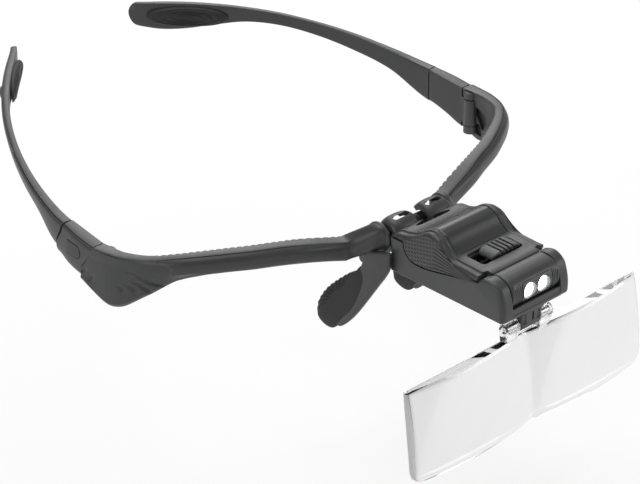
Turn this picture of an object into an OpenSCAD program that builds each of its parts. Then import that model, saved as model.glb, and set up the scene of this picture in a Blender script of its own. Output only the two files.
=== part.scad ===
// Glasses-style head magnifier with a tilting lamp case and a clear twin lens.
// X runs across the face, +Y towards the back of the head, +Z up.
// The origin is at the bridge, on the top back edge of the brow bar.

/* [Front frame] */
// Width over the outer faces of the brow bar at the temple hinges
frame_w = 145.2; // [136:0.2:154]
// How far the temple hinges lie behind the bridge
frame_d = 37.2; // [34:0.2:42]
// Width of the top face of the brow bar
brow_t = 4.2; // [3.6:0.1:4.6]
// Height of the brow bar in its middle
brow_h = 5.9; // [5.4:0.1:7.2]
// How far the brow bar rises above the bridge
brow_rise = 4.5; // [2:0.1:6]
// How far the corner lobe hangs below the bar
lobe_drop = 9.4; // [8:0.1:10.6]
// Pitch of the teeth on the back edge of the bar
tooth_pitch = 2.1; // [1.9:0.1:4]

/* [Bridge hinge] */
// Gap between the two frame hubs
hub_gap = 22.6; // [22.2:0.2:24]
// Radius of the frame hubs
hub_r = 4.3; // [3.6:0.1:4.5]
// Radius of the tilt pin
tilt_pin_r = 0.9; // [0.7:0.1:1]
// Distance of the tilt pin in front of the brow bar's back edge
tilt_y = 8; // [7.6:0.1:8.6]
// Height of the tilt pin above the bridge edge
tilt_z = 0.7; // [0.3:0.1:1.2]
// Outer radius of the knuckle hoods on the lamp case
hood_r = 3.7; // [3.5:0.1:4]
// Running clearance round every pin
pin_fit = 0.05; // [0.02:0.01:0.08]

/* [Nose pads] */
// Distance between the pads at their lower ends
nose_gap = 26.6; // [22:0.2:32]
// Thickness of a rubber nose pad
nose_t = 2; // [1.8:0.1:2.2]
// How far the nose pads reach below the bridge
nose_drop = 31.9; // [28:0.2:35]

/* [Temple arms] */
// Length of an arm behind the release seam, measured front to back
arm_l = 83; // [70:0.2:94]
// Distance between the two arm tips
tip_gap = 43; // [32:0.2:60]
// Thickness of an arm in its middle
arm_t = 2.2; // [1.8:0.1:2.8]
// Height of the paddle at the arm tip
paddle_h = 8.6; // [7.6:0.1:10]
// Length of the oval ear pad
ear_pad_l = 25; // [20:0.5:27]
// Height of the oval ear pad
ear_pad_h = 6.4; // [5:0.1:7]
// How far the ear pad stands proud of the arm
ear_pad_t = 1.5; // [1.2:0.1:2]

/* [Temple hinges] */
// Length of a hinge block
block_l = 12.9; // [12.4:0.1:16]
// Thickness of a hinge block
block_t = 4.4; // [4.2:0.1:4.8]
// Radius of the temple fold pins
fold_pin_r = 0.8; // [0.6:0.1:1]
// Gap at the two seams of a hinge block
seam = 0.4; // [0.3:0.05:0.6]
// Length of the arm's plug inside the block
plug_l = 8; // [6:0.5:8.5]
// Width of a release button
button_l = 5.6; // [4.6:0.1:6]
// Inward travel of a release button
button_travel = 0.6; // [0.3:0.1:0.7]

/* [Lamp case] */
// Width of the lamp case
case_w = 25.6; // [25:0.2:27]
// Length of the lamp case from back wall to front
case_l = 40.2; // [39.6:0.2:44]
// Wall thickness of the shells
wall = 1.2; // [1:0.1:1.4]
// Height of the battery hump above the cover
hump_h = 5; // [4.7:0.1:6]
// Width of the battery door
door_w = 18.8; // [17.6:0.2:19.4]
// Radius of a case screw's shank
screw_r = 0.7; // [0.6:0.05:0.8]

/* [Switch and lamps] */
// Width of the slide knob
knob_w = 11; // [9:0.2:11.4]
// Travel of the slide knob across the case
knob_travel = 3.6; // [2:0.2:4]
// Radius of the lamp drum
drum_r = 5.6; // [5.2:0.1:5.7]
// Radius of a lamp
led_r = 2; // [1.5:0.1:2.1]
// Distance between the two lamps
led_pitch = 5.2; // [4.8:0.1:6.4]

/* [Batteries] */
// Diameter of a button cell
cell_d = 11.6; // [10.6:0.1:11.7]
// Thickness of a button cell
cell_t = 3.05; // [2.6:0.05:3.1]

/* [Lens] */
// Width of the lens
lens_w = 88; // [70:1:100]
// Height of the lens
lens_h = 26; // [20:0.5:32]
// Thickness of the lens at its ends
lens_edge = 2.4; // [2:0.1:3]
// Radius of the two convex faces
lens_r = 100; // [90:1:140]
// Lean of the lens, lower edge forward
lens_lean = 7; // [0:1:12]
// Radius of the lens pin
lens_pin_r = 0.8; // [0.6:0.1:0.9]
// Width of the lens hook
hook_w = 7.6; // [6.6:0.2:8.4]

/* [Hidden] */
$fn = 48;
// Ordinary gap between neighbouring pieces, and overlap of cutting shapes
fit = 0.15;
eps = 0.05;
far = 200;

// Plain helpers: blending, a smooth curve through key rows, and a skin over rings
function blend(a, b, t) = a + (b - a) * t;
function unit(v) = v / norm(v);
// A point of a smooth curve through b and c, with a and d as their neighbours
function between(a, b, c, d, t) = b + (c - a) * t / 2 + (2 * a - 5 * b + 4 * c - d) * t ^ 2 / 2
    + (3 * b - 3 * c + d - a) * t ^ 3 / 2;
// Smooth open curve through points, n steps to each stretch
function flow(p, n) = let (m = len(p) - 1) concat([for (i = [0:m - 1], j = [0:n - 1])
    between(p[max(i - 1, 0)], p[i], p[i + 1], p[min(i + 2, m)], j / n)], [p[m]]);
// Smooth closed curve through points
function ring_flow(p, n) = let (m = len(p)) [for (i = [0:m - 1], j = [0:n - 1])
    between(p[(i + m - 1) % m], p[i], p[(i + 1) % m], p[(i + 2) % m], j / n)];
// A closed clockwise outline, grown by g all round
function grown(p, g) = let (m = len(p)) [for (i = [0:m - 1])
    let (d = unit(p[(i + 1) % m] - p[(i + m - 1) % m])) p[i] + g * [-d[1], d[0]]];
function spline(k, u) =
    let (n = len(k) - 1, s = min(max(u, 0), 1) * n, i = min(floor(s), n - 1), t = s - i,
        a = k[max(i - 1, 0)], b = k[i], c = k[i + 1], d = k[min(i + 2, n)])
    b + 0.5 * t * ((c - a) + t * ((2 * a - 5 * b + 4 * c - d) + t * (3 * (b - c) + d - a)));
module skin(rings) {
    m = len(rings);
    n = len(rings[0]);
    polyhedron(
        points = [for (r = rings) each r],
        faces = [
            for (i = [1:n - 2]) [0, i, i + 1],
            for (i = [1:n - 2]) [(m - 1) * n, (m - 1) * n + i + 1, (m - 1) * n + i],
            for (j = [0:m - 2], i = [0:n - 1])
                each [[j * n + i, (j + 1) * n + i, j * n + (i + 1) % n],
                    [(j + 1) * n + i, (j + 1) * n + (i + 1) % n, j * n + (i + 1) % n]]
        ]);
}
// A side profile given as [y, z] points, spread over a width in x
module across(w, profile) {
    rotate([90, 0, 90]) linear_extrude(w, center = true) polygon(profile);
}
// A cylinder along x between two x values, at [y, z]
module rod_x(x0, x1, y, z, r) {
    translate([x0, y, z]) rotate([0, 90, 0]) cylinder(h = x1 - x0, r = r);
}
module box(lo, hi) {
    translate(lo) cube(hi - lo);
}
module right() {
    mirror([1, 0, 0]) children();
}

// Brow bar: its back top edge as key rows of across, back, rise, height, width and fullness
hub_x = hub_gap / 2;
brow_x0 = hub_x + 4.2;
brow_x1 = frame_w / 2 - 4.5;
brow_keys = [
    [0, -0.027, -0.04, 6.4, 0.95, 0.4], [0.105, 0.032, 0.13, 6.2, 0.95, 0.7],
    [0.274, 0.089, 0.58, 6.3, 0.93, 1], [0.407, 0.142, 0.8, 6.4, 0.82, 1],
    [0.534, 0.204, 0.93, 6.4, 0.79, 1], [0.65, 0.282, 1, 6.4, 0.74, 1],
    [0.759, 0.371, 1, 6.6, 0.69, 1], [0.857, 0.473, 0.92, 7.7, 0.62, 0.9],
    [0.941, 0.605, 0.74, 11.5, 0.64, 0.4], [0.987, 0.766, 0.6, 15.8, 0.76, 0.1],
    [0.997, 0.88, 0.54, 16.7, 0.88, 0.1], [1, 1, 0.51, 14.8, 1, 0.1]];
bulge = 1.7;
bar_base_h = 6.4;
lobe_base = 9.9;
function brow_row(u) =
    let (k = spline(brow_keys, u))
    [blend(brow_x0, brow_x1, k[0]), k[1] * frame_d, k[2] * brow_rise,
        k[3] - bar_base_h < 1 ? k[3] - bar_base_h + brow_h
            : brow_h + (k[3] - bar_base_h) * lobe_drop / lobe_base,
        k[4] * brow_t, k[5] * bulge];
function brow_out(u) =
    let (a = brow_row(max(u - 0.01, 0)), b = brow_row(min(u + 0.01, 1)),
        d = unit([b[0] - a[0], b[1] - a[1]]))
    [d[1], -d[0]];
function brow_ring(u) =
    let (r = brow_row(u), n = u == 1 ? [1, 0] : brow_out(u), lobe = max(r[3] - 8, 0) / 8, w = r[4], g = r[5])
    [for (q = [[0, 0], [w, -0.2], [w + g * 0.8, -0.25 * brow_h],
            [w + g, -0.55 * brow_h], [w + 0.4 + lobe * 0.5, -r[3] + 1.3],
            [w - 0.9, -r[3]], [0.8 + lobe * 1.2, -r[3]], [0.3 + lobe * 0.6, -0.5 * r[3]]])
        [r[0] + n[0] * q[0], r[1] + n[1] * q[0], r[2] + q[1]]];
brow_steps = 33;
corner_top = brow_row(1)[2];
corner_h = brow_row(1)[3];

// Temple hinge: the pin's place, and the heights of block and pocket
fold_x = brow_x1 + 0.9;
fold_y = frame_d - 2.6;
knuckle_r = 2.1;
lug_top = corner_top - 2.8;
lug_bottom = corner_top - 11;
block_y0 = frame_d + seam;
block_y1 = block_y0 + block_l;
block_h0 = 12.7;
block_top1 = 3.9;
block_bottom1 = -6.5;
block_in1 = brow_x1 - 0.4;
block_out1 = block_in1 + block_t - 0.6;

// Arm: inner face of the arm in plan, as a curve of four control points
arm_y0 = block_y1 + seam;
arm_p0 = [block_in1, arm_y0];
arm_p1 = [block_in1 - 4.6, arm_y0 + 0.597 * arm_l];
arm_p2 = [tip_gap / 2 + 6, arm_y0 + 0.856 * arm_l];
arm_p3 = [tip_gap / 2, arm_y0 + arm_l];
function arm_at(u) = (1 - u) ^ 3 * arm_p0 + 3 * (1 - u) ^ 2 * u * arm_p1
    + 3 * (1 - u) * u ^ 2 * arm_p2 + u ^ 3 * arm_p3;
function arm_dir(u) = unit(3 * (1 - u) ^ 2 * (arm_p1 - arm_p0)
    + 6 * (1 - u) * u * (arm_p2 - arm_p1) + 3 * u ^ 2 * (arm_p3 - arm_p2));
// Top, bottom and thickness of the arm along the curve, the bottom of the paddle from its height
paddle_top = 13.6;
arm_keys = [
    [block_top1, block_bottom1, block_t - 0.6], [6, -0.2, arm_t + 0.8], [8.3, 3.4, arm_t + 0.3],
    [10.2, 6.2, arm_t], [11.7, 8, arm_t], [12.7, 8.3, arm_t + 0.1],
    [13.3, paddle_top - 0.78 * paddle_h, arm_t + 0.3],
    [paddle_top, paddle_top - 0.95 * paddle_h, arm_t + 0.4],
    [paddle_top, paddle_top - paddle_h, arm_t + 0.3],
    [13.4, paddle_top - 0.93 * paddle_h, arm_t],
    [13.2, paddle_top - 0.84 * paddle_h, arm_t - 0.3]];
arm_steps = 27;
tip_start = 0.94;
function arm_end(u) = u < tip_start ? 1 : sqrt(1 - 0.92 * ((u - tip_start) / (1 - tip_start)) ^ 2);
arm_us = concat([for (i = [0:arm_steps]) tip_start * i / arm_steps], [0.96, 0.978, 0.991, 1]);
function arm_ring(u) =
    let (k = spline(arm_keys, u), p = arm_at(u), d = arm_dir(u), n = [d[1], -d[0]],
        f = arm_end(u), m = blend(k[1], k[0], 0.55), z1 = m + (k[0] - m) * f, z0 = m + (k[1] - m) * f,
        t = k[2], h = z1 - z0)
    [for (q = [[0.12 * t, z1], [0.8 * t, z1 - 0.04 * h], [t, z1 - 0.2 * h], [0.92 * t, z0 + 0.4 * h],
            [0.5 * t, z0 + 0.04 * h], [0.15 * t, z0], [0, z0 + 0.12 * h], [0, z1 - 0.06 * h]])
        [p[0] + n[0] * q[0], p[1] + n[1] * q[0], q[1]]];
plug_t = 2;
plug_h = 4.6;
plug_z = -1.3;
plug_x = block_in1 + 0.85;

// Ear pad: where it sits on the arm and how it is turned
pad_u = 0.7;
pad_key = spline(arm_keys, pad_u);
pad_at = arm_at(pad_u);
pad_dir = arm_dir(pad_u);
pad_turn = atan2(pad_dir[1], pad_dir[0]) - 90;
pad_z = (pad_key[0] + pad_key[1]) / 2;
stud_shift = -0.3 * ear_pad_l;

// Lamp case: its side profile, as [y, z]
case_y0 = -tilt_y - 5.2;
case_y1 = case_y0 - case_l;
floor_z = -6.9;
rear_top = 3.9;
deck_z = 4.3;
front_top = 3.3;
hump_y = case_y0 - 13.8;
hump_rear = case_y0 - 6.6;
hump_front = hump_y - 7.6;
hump_z = deck_z + hump_h;
nose_y = case_y1 + 9.4;
shell_edge = concat([[case_y0, 3]], flow([[case_y0 - 4.2, 3], [case_y0 - 5.2, 0.3],
    [case_y0 - 7.4, -1.4], [case_y0 - 11, -1.7], [case_y0 - 15, -1.2], [case_y0 - 21, 0],
    [nose_y, 2]], 5));
ear_edge = concat(flow([[nose_y - 0.05, 2.1], [nose_y - 1.2, 3.2], [nose_y - 3.6, 3.9],
    [nose_y - 6, 3.4], [nose_y - 7.8, 2], [case_y1 + 0.5, -0.8], [case_y1, -3.6],
    [case_y1, floor_z + 0.8]], 4), [[case_y1 + 0.8, floor_z]]);
cover_top = concat([[nose_y, front_top], [nose_y - 0.2, front_top], [nose_y + 7, deck_z]],
    flow([[hump_front - 1, deck_z + 0.1], [hump_front, deck_z + 0.25],
        [hump_front + 2.4, deck_z + 0.35 * hump_h], [hump_y - 3, deck_z + 0.78 * hump_h],
        [hump_y - 0.8, hump_z - 0.15], [hump_y + 0.2, hump_z], [hump_y + 1.2, hump_z - 0.3],
        [hump_y + 2.8, deck_z + 0.78 * hump_h], [hump_y + 5.5, deck_z + 0.48 * hump_h],
        [hump_y + 8.8, deck_z + 1.3], [case_y0 - 2, deck_z + 0.8], [case_y0, rear_top]], 4));
// Cross-section of the cover: nearly upright flanks, and a slightly lower shoulder outside the rails
rail_x = door_w / 2 + 0.9;
shoulder = 0.35;
cover_half = [[0, floor_z], [case_w / 2, floor_z], [case_w / 2, -1.2], [case_w / 2 - 0.2, 2],
    [case_w / 2 - 0.5, hump_z], [0, far]];
cover_section = concat(cover_half,
    [for (i = [len(cover_half) - 1:-1:0]) [-cover_half[i][0], cover_half[i][1]]]);

drum_y = case_y1 + drum_r + 0.2;
drum_z = floor_z + 6.4;
drum_w = 17.6;
ear_in = drum_w / 2 + 0.35;
drum_pin_r = 1;
drum_pin_l = 1.6;

// Battery bay and door
cell_y = hump_y;
cell_z = floor_z + wall + cell_d / 2 + 0.3;
cell_count = 3;
stack = cell_count * cell_t;
door_y0 = hump_rear;
door_y1 = hump_front + 0.4;
bay_x = 7.4;
plate_t = 0.3;

// Screws: two at the back, two at the front
screw_in = case_w / 2 - wall - 2;
screw_at = [[screw_in, case_y0 - 3.4], [screw_in, nose_y + 4.4]];
skirt_x = hub_x - 0.3;
skirt_z = -2;
screw_head_r = 1.4;
screw_head_h = 1;
post_r = screw_head_r + 0.7;

// Switch: slot in the deck, knob, switch body and board
slot_y = hump_front - 3.7;
slot_w = knob_w + knob_travel + 0.6;
slot_l = 5.8;
bed = 0.75;
knob_l = 5.2;
knob_x = (slot_w - knob_w) / 2 - 0.3;
board_z = -1.4;
board_t = 1;
board_w = 2 * (screw_in - post_r - 0.3);
board_l = 6.6;
switch_h = 2;
deck_under = deck_z - wall;

// Height at which the posts of shell and cover meet
post_split = 0;

// Lens: hook, pin and tabs below the front of the case
hook_y = case_y1 + 3.4;
hook_top = floor_z;
lens_pin_z = floor_z - 4.6;
hook_foot = lens_pin_z - 1.9;
tab_w = 4.5;
tab_h = 2.3;
lens_y = hook_y + 1.5;
lens_top = lens_pin_z - 3.6;
tab_x = hook_w / 2 + 0.2;
lens_mid_t = lens_edge + lens_r - sqrt(lens_r ^ 2 - (lens_w / 4) ^ 2);
lens_corner = 3;

// Nose pads hang from struts below the hubs
strut_x = nose_gap / 2;
strut_t = 1;
strut_out = ring_flow([[-tilt_y - 6.2, floor_z + 5.7], [-tilt_y - 1.4, floor_z + 4.3],
    [-tilt_y + 3.6, floor_z + 2.3], [-tilt_y + 3.2, floor_z + 0.2], [-tilt_y + 4.8, floor_z - 3.6],
    [-tilt_y + 6.4, floor_z - 8], [-tilt_y + 6.8, floor_z - 13], [-tilt_y + 8.6, floor_z - 17.4],
    [-tilt_y + 10.6, floor_z - 20.2], [-tilt_y + 8.6, floor_z - 20.8], [-tilt_y + 5, floor_z - 16.3],
    [-tilt_y + 1.8, floor_z - 11.7], [-tilt_y - 2.4, floor_z - 5.6], [-tilt_y - 4.8, floor_z - 2],
    [-tilt_y - 6.3, floor_z + 1], [-tilt_y - 6.6, floor_z + 4]], 4);
strut_room = grown(strut_out, 0.1);
pad_low = -nose_drop;
pad_top = floor_z - 4;
function pad_row(y, f) = [y - tilt_y, blend(pad_top, pad_low, f)];
pad_out = ring_flow(concat([[4.2 - tilt_y, floor_z - 1.9], [5.6 - tilt_y, floor_z - 3.7]],
    [for (p = [[9, 0.1], [13.5, 0.29], [16.9, 0.46], [19.6, 0.66], [20.1, 0.8], [19.1, 0.93],
        [16.8, 0.985], [14.2, 1], [11.2, 0.93], [7.8, 0.75], [4.6, 0.54], [1.4, 0.31]]) pad_row(p[0], p[1])],
    [[-1.7 - tilt_y, floor_z - 4.8], [-1.4 - tilt_y, floor_z - 2.2], [1 - tilt_y, floor_z - 1.2]]), 4);
nose_splay = 1.5;

// Brow bar, hub, corner and fork of one side
module brow_bar() {
    skin([for (i = [0:brow_steps]) brow_ring(i / brow_steps)]);
}
// Ball end of a hub, cut off by a face that looks outward, forward and up
hub_face_turn = -46;
hub_face_lift = 29;
module hub() {
    difference() {
        union() {
            rod_x(hub_x, hub_x + 1, -tilt_y, tilt_z, hub_r);
            rod_x(hub_x + 0.9, hub_x + 3.4, -tilt_y, tilt_z, hub_r - 0.3);
            translate([hub_x + 3.3, -tilt_y, tilt_z]) sphere(r = hub_r - 0.05);
        }
        translate([hub_x + 3.3, -tilt_y, tilt_z]) rotate([0, -hub_face_lift, hub_face_turn])
            translate([0.25 * hub_r, -far / 2, -far / 2]) cube(far);
        box([-far, -far, -far], [hub_x, far, far]);
    }
}
module frame_half() {
    difference() {
        union() {
            brow_bar();
            hub();
            translate([hub_x + 2, 1.8 - tilt_y, tilt_z - 4]) cube([4, 3.8, 4.7]);
            for (z = [[lug_top + 0.2, corner_top - 0.3], [lug_bottom - 2.6, lug_bottom - 0.2]])
                translate([fold_x, fold_y, z[0]]) cylinder(h = z[1] - z[0], r = knuckle_r);
            nose_strut();
        }
        // Pocket for the hinge knuckle, open to the inside and the back
        translate([fold_x, fold_y, lug_bottom - 0.2])
            cylinder(h = lug_top - lug_bottom + 0.4, r = knuckle_r + 0.3);
        box([brow_x1 - 5, fold_y - 1.6, lug_bottom - 0.2],
            [fold_x + knuckle_r + 0.3, frame_d + 5, lug_top + 0.2]);
        // Moulded hollow in front of the pocket
        box([brow_x1 - 8, fold_y - 8.2, lug_bottom + 2], [brow_x1 + 1.6, fold_y - 3, lug_top]);
        // Bore of the fold pin, blind at the top, and bore of the tilt pin
        translate([fold_x, fold_y, lug_bottom - 3])
            cylinder(h = corner_top - lug_bottom + 2, r = fold_pin_r + fit / 10);
        rod_x(hub_x - 1, hub_x + 2.7, -tilt_y, tilt_z, tilt_pin_r + fit / 10);
        teeth();
    }
}
// Teeth along the back top edge
tooth_n = floor(0.62 * (brow_x1 - brow_x0) / tooth_pitch);
module teeth() {
    for (i = [0:tooth_n]) {
        r = brow_row(0.07 + 0.62 * i / tooth_n);
        translate([r[0], r[1] - 0.1, r[2] - brow_h / 2]) rotate(45)
            cube([0.9, 0.9, brow_h * 2], center = true);
    }
}
module nose_strut() {
    translate([strut_x + 0.7, 0, 0]) rotate([0, -nose_splay, 0]) across(strut_t, strut_out);
}
module front_frame() {
    color("dimgray") {
        frame_half();
        right() frame_half();
        // Bridge saddle between the hubs, below the knuckles
        rod_x(-hub_x - 3, hub_x + 3, -tilt_y + 3.6, tilt_z - 7, 1.7);
    }
}
module nose_pad_half() {
    difference() {
        translate([strut_x + 0.7, 0, 0]) rotate([0, -nose_splay, 0]) across(nose_t, pad_out);
        translate([strut_x + 0.7, 0, 0]) rotate([0, -nose_splay, 0])
            across(strut_t + 0.1, strut_room);
    }
}
module nose_pad_left() {
    color("darkslategray") nose_pad_half();
}
module nose_pad_right() {
    color("darkslategray") right() nose_pad_half();
}
module tilt_pin() {
    color("silver") rod_x(-hub_x - 2.5, hub_x + 2.5, -tilt_y, tilt_z, tilt_pin_r);
}

// Temple hinge: block, button and pin of one side
module fold_pin() {
    translate([fold_x, fold_y, lug_bottom - 2.4])
        cylinder(h = corner_top - 1 - lug_bottom + 2.2, r = fold_pin_r);
}
module fold_pin_left() {
    color("silver") fold_pin();
}
module fold_pin_right() {
    color("silver") right() fold_pin();
}
button_y = (block_y0 + block_y1) / 2 - 0.6;
button_wall = 0.9;
module block_half() {
    difference() {
        union() {
            intersection() {
                translate([0, 0, -far / 2]) linear_extrude(far) polygon([
                    [brow_x1, block_y0], [brow_x1 + block_t, block_y0],
                    [blend(brow_x1 + block_t, block_out1, 0.4) + 0.15, block_y0 + 0.5 * block_l],
                    [block_out1, block_y1], [block_in1, block_y1]]);
                across(far, [[block_y0, corner_top], [block_y1, block_top1], [block_y1, block_bottom1],
                    [block_y1 - 0.5 * block_l, block_bottom1 - 1.5], [block_y0, corner_top - block_h0]]);
            }
            // Knuckle on the pin and its web
            translate([fold_x, fold_y, lug_bottom]) cylinder(h = lug_top - lug_bottom, r = knuckle_r);
            box([fold_x - 0.9, fold_y, lug_bottom], [fold_x + knuckle_r - 0.6, block_y0 + 1, lug_top]);
        }
        translate([fold_x, fold_y, lug_bottom - 1])
            cylinder(h = lug_top - lug_bottom + 2, r = fold_pin_r + pin_fit);
        // Socket for the arm's plug and window for the button
        box([plug_x - fit, block_y1 - plug_l - fit, plug_z - plug_h / 2 - fit],
            [plug_x + plug_t + fit, block_y1 + 1, plug_z + plug_h / 2 + fit]);
        translate([plug_x + plug_t - button_travel - fit, button_y, plug_z])
            button_shape(fit, block_t + button_travel);
    }
}
// The button's D shape, grown by a clearance, over a depth in x
module button_shape(grow, depth) {
    rotate([90, 0, 90]) linear_extrude(depth) {
        translate([1.9 - button_l / 2, 0]) circle(r = 1.9 + grow);
        translate([1.9 - button_l / 2, -1.9 - grow]) square([button_l - 1.9 + grow, 3.8 + 2 * grow]);
    }
}
module button_half() {
    intersection() {
        translate([plug_x + plug_t + fit, button_y, plug_z]) button_shape(0, 5);
        translate([0, 0, -far / 2]) linear_extrude(far) polygon([
            [brow_x1, block_y0], [brow_x1 + block_t + 0.2, block_y0],
            [blend(brow_x1 + block_t, block_out1, 0.4) + 0.45, block_y0 + 0.5 * block_l],
            [block_out1 + 0.2, block_y1], [block_in1, block_y1]]);
    }
}
module hinge_block_left() {
    color("dimgray") block_half();
}
module hinge_block_right() {
    color("dimgray") right() block_half();
}
module release_button_left() {
    color("gray") button_half();
}
module release_button_right() {
    color("gray") right() button_half();
}

// Temple arm with its plug, and the rubber pad at its tip
module arm_half() {
    difference() {
        union() {
            skin([for (u = arm_us) arm_ring(u)]);
            box([plug_x, block_y1 - plug_l, plug_z - plug_h / 2],
                [plug_x + plug_t, arm_y0 + 2, plug_z + plug_h / 2]);
        }
        // Room for the pressed button
        box([plug_x + plug_t - button_travel - fit, block_y1 - plug_l - 1, plug_z - 2.4],
            [plug_x + plug_t + 1, button_y + button_l / 2 + 0.6, plug_z + 2.4]);
        on_pad() translate([-1, stud_shift, 0]) rotate([0, 90, 0]) cylinder(h = 8, r = 1.3 + fit / 3);
    }
}
module on_pad() {
    translate([pad_at[0], pad_at[1], pad_z]) rotate(pad_turn) children();
}
pad_round = 105;
module ear_pad_half() {
    on_pad() {
        intersection() {
            rotate([0, -90, 0]) linear_extrude(ear_pad_t * 3) oval(ear_pad_h, ear_pad_l);
            translate([-pad_round, 0, -far / 2]) difference() {
                cylinder(h = far, r = pad_round, $fn = 360);
                translate([0, 0, -1]) cylinder(h = far + 2, r = pad_round - ear_pad_t, $fn = 360);
            }
        }
        // Stud through the arm, with a round head outside
        translate([-1, stud_shift, 0]) rotate([0, 90, 0]) cylinder(h = pad_key[2] + 1.2, r = 1.3);
        translate([0.95 * pad_key[2] + 0.1, stud_shift, 0]) rotate([0, 90, 0]) cylinder(h = 0.5, r = 1.7);
    }
}
// A long oval of two arcs, short way in x and long way in y
module oval(short, long) {
    r = (short ^ 2 + (1.2 * long) ^ 2) / (4 * short);
    intersection() {
        translate([r - short / 2, 0]) circle(r = r, $fn = 180);
        translate([short / 2 - r, 0]) circle(r = r, $fn = 180);
        union() {
            square([short, long - short], center = true);
            for (q = [-1, 1]) translate([0, q * (long - short) / 2]) circle(r = short / 2);
        }
    }
}
module temple_arm_left() {
    color("dimgray") arm_half();
}
module temple_arm_right() {
    color("dimgray") right() arm_half();
}
module ear_pad_left() {
    color("darkslategray") ear_pad_half();
}
module ear_pad_right() {
    color("darkslategray") right() ear_pad_half();
}

// Lamp case
module screw_posts(r, z0, z1) {
    for (p = screw_at, s = [-1, 1]) translate([s * p[0], p[1], z0]) cylinder(h = z1 - z0, r = r);
}
module lower_shell() {
    color("dimgray") difference() {
        union() {
            difference() {
                across(case_w, concat([[case_y0, floor_z]], shell_edge, ear_edge));
                // Inside of the tray
                box([wall - case_w / 2, nose_y - 2, floor_z + wall],
                    [case_w / 2 - wall, case_y0 - wall, far]);
                // Open front between the ears
                box([-ear_in, case_y1 - 1, floor_z + wall], [ear_in, nose_y, far]);
                drum_room();
            }
            // Screw posts, board posts and the cradle of the cells
            screw_posts(post_r, floor_z + eps, post_split - 0.2);
            for (s = [-1, 1]) {
                translate([s * (board_w / 2 - 1.4) - 1, slot_y - 1, floor_z + eps])
                    cube([2, 2, board_z - floor_z - eps]);
            }
            // Walls behind the contact plate and the contact spring
            box([stack / 2 + 0.05 + plate_t, cell_y - 4, floor_z + eps],
                [stack / 2 + 0.05 + plate_t + wall, cell_y + 4, -1]);
            box([-bay_x - wall, cell_y - 4, floor_z + eps], [-bay_x, cell_y + 4, -1]);
            for (y = [cell_y - cell_d / 2 - 1.4, cell_y + cell_d / 2 + 0.4])
                box([-4, y, floor_z + eps], [4, y + 1, -2]);
        }
        screw_posts(screw_r + 0.1, floor_z - 1, 3);
        screw_posts(screw_head_r + 0.1, floor_z - 1, floor_z + screw_head_h + 0.1);
        for (s = [-1, 1]) rod_x(min(s * ear_in, s * (ear_in + drum_pin_l + 0.2)) - eps,
            max(s * ear_in, s * (ear_in + drum_pin_l + 0.2)) + eps, drum_y, drum_z, drum_pin_r + pin_fit);
        for (s = [-1, 1]) translate([s * 2.2, case_y1 + 1.5, floor_z - 1]) cylinder(h = 1.9, r = 0.55);
        // Gap in the rear wall, filled by the cover's skirt
        box([-skirt_x, case_y0 - wall - 1, skirt_z], [skirt_x, case_y0 + 1, far]);
    }
}
// Space swept by the drum
module drum_room() {
    rod_x(-ear_in, ear_in, drum_y, drum_z, drum_r + 0.35);
}
// The cover's outer form between the seam and the top profile
module cover_form() {
    intersection() {
        across(case_w, concat([for (p = shell_edge) p + [0, 0.12]], cover_top));
        rotate([90, 0, 0]) linear_extrude(far, center = true)
            polygon(cover_section);
        union() {
            box([-rail_x - 1.2, -far, -far], [rail_x + 1.2, far, far]);
            across(far, concat([[nose_y, -far / 2], [case_y0, -far / 2]],
                [for (i = [len(cover_top) - 1:-1:1]) cover_top[i] - [0, shoulder]]));
        }
    }
}
module top_cover() {
    color("gray") difference() {
        union() {
            difference() {
                cover_form();
                // Hollow below the roof, clear of the tray's side walls
                intersection() {
                    box([wall * 2 - case_w / 2, nose_y + wall, -far],
                        [case_w / 2 - wall * 2, case_y0 - wall, far]);
                    across(far, concat([[nose_y, -far / 2], [case_y0, -far / 2]],
                        [for (i = [len(cover_top) - 1:-1:1]) cover_top[i] - [0, wall]]));
                }
            }
            intersection() {
                cover_form();
                screw_posts(post_r - 0.3, post_split, far);
            }
            // Rear skirt that carries the knuckles
            box([0.15 - skirt_x, case_y0 - wall, skirt_z + 0.15], [skirt_x - 0.15, case_y0, rear_top]);
            for (s = [-1, 1]) knuckle(s);
        }
        // Opening for the battery door
        box([-door_w / 2 - fit, door_y1 - fit, -far], [door_w / 2 + fit, door_y0 + fit, far]);
        // Notch in the rear edge between the knuckles
        box([0.1 - knuckle_x0, case_y0 - 2.6, tilt_z + 1], [knuckle_x0 - 0.1, case_y0 + 1, far]);
        // Slot and dished bed of the slide knob
        box([-slot_w / 2, slot_y - 1.4, 0], [slot_w / 2, slot_y + 1.4, far]);
        box([-slot_w / 2, slot_y - slot_l / 2, deck_z - bed], [slot_w / 2, slot_y + slot_l / 2, far]);
        screw_posts(screw_r + 0.02, 1, 3.2);
        drum_room();
    }
}
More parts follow.
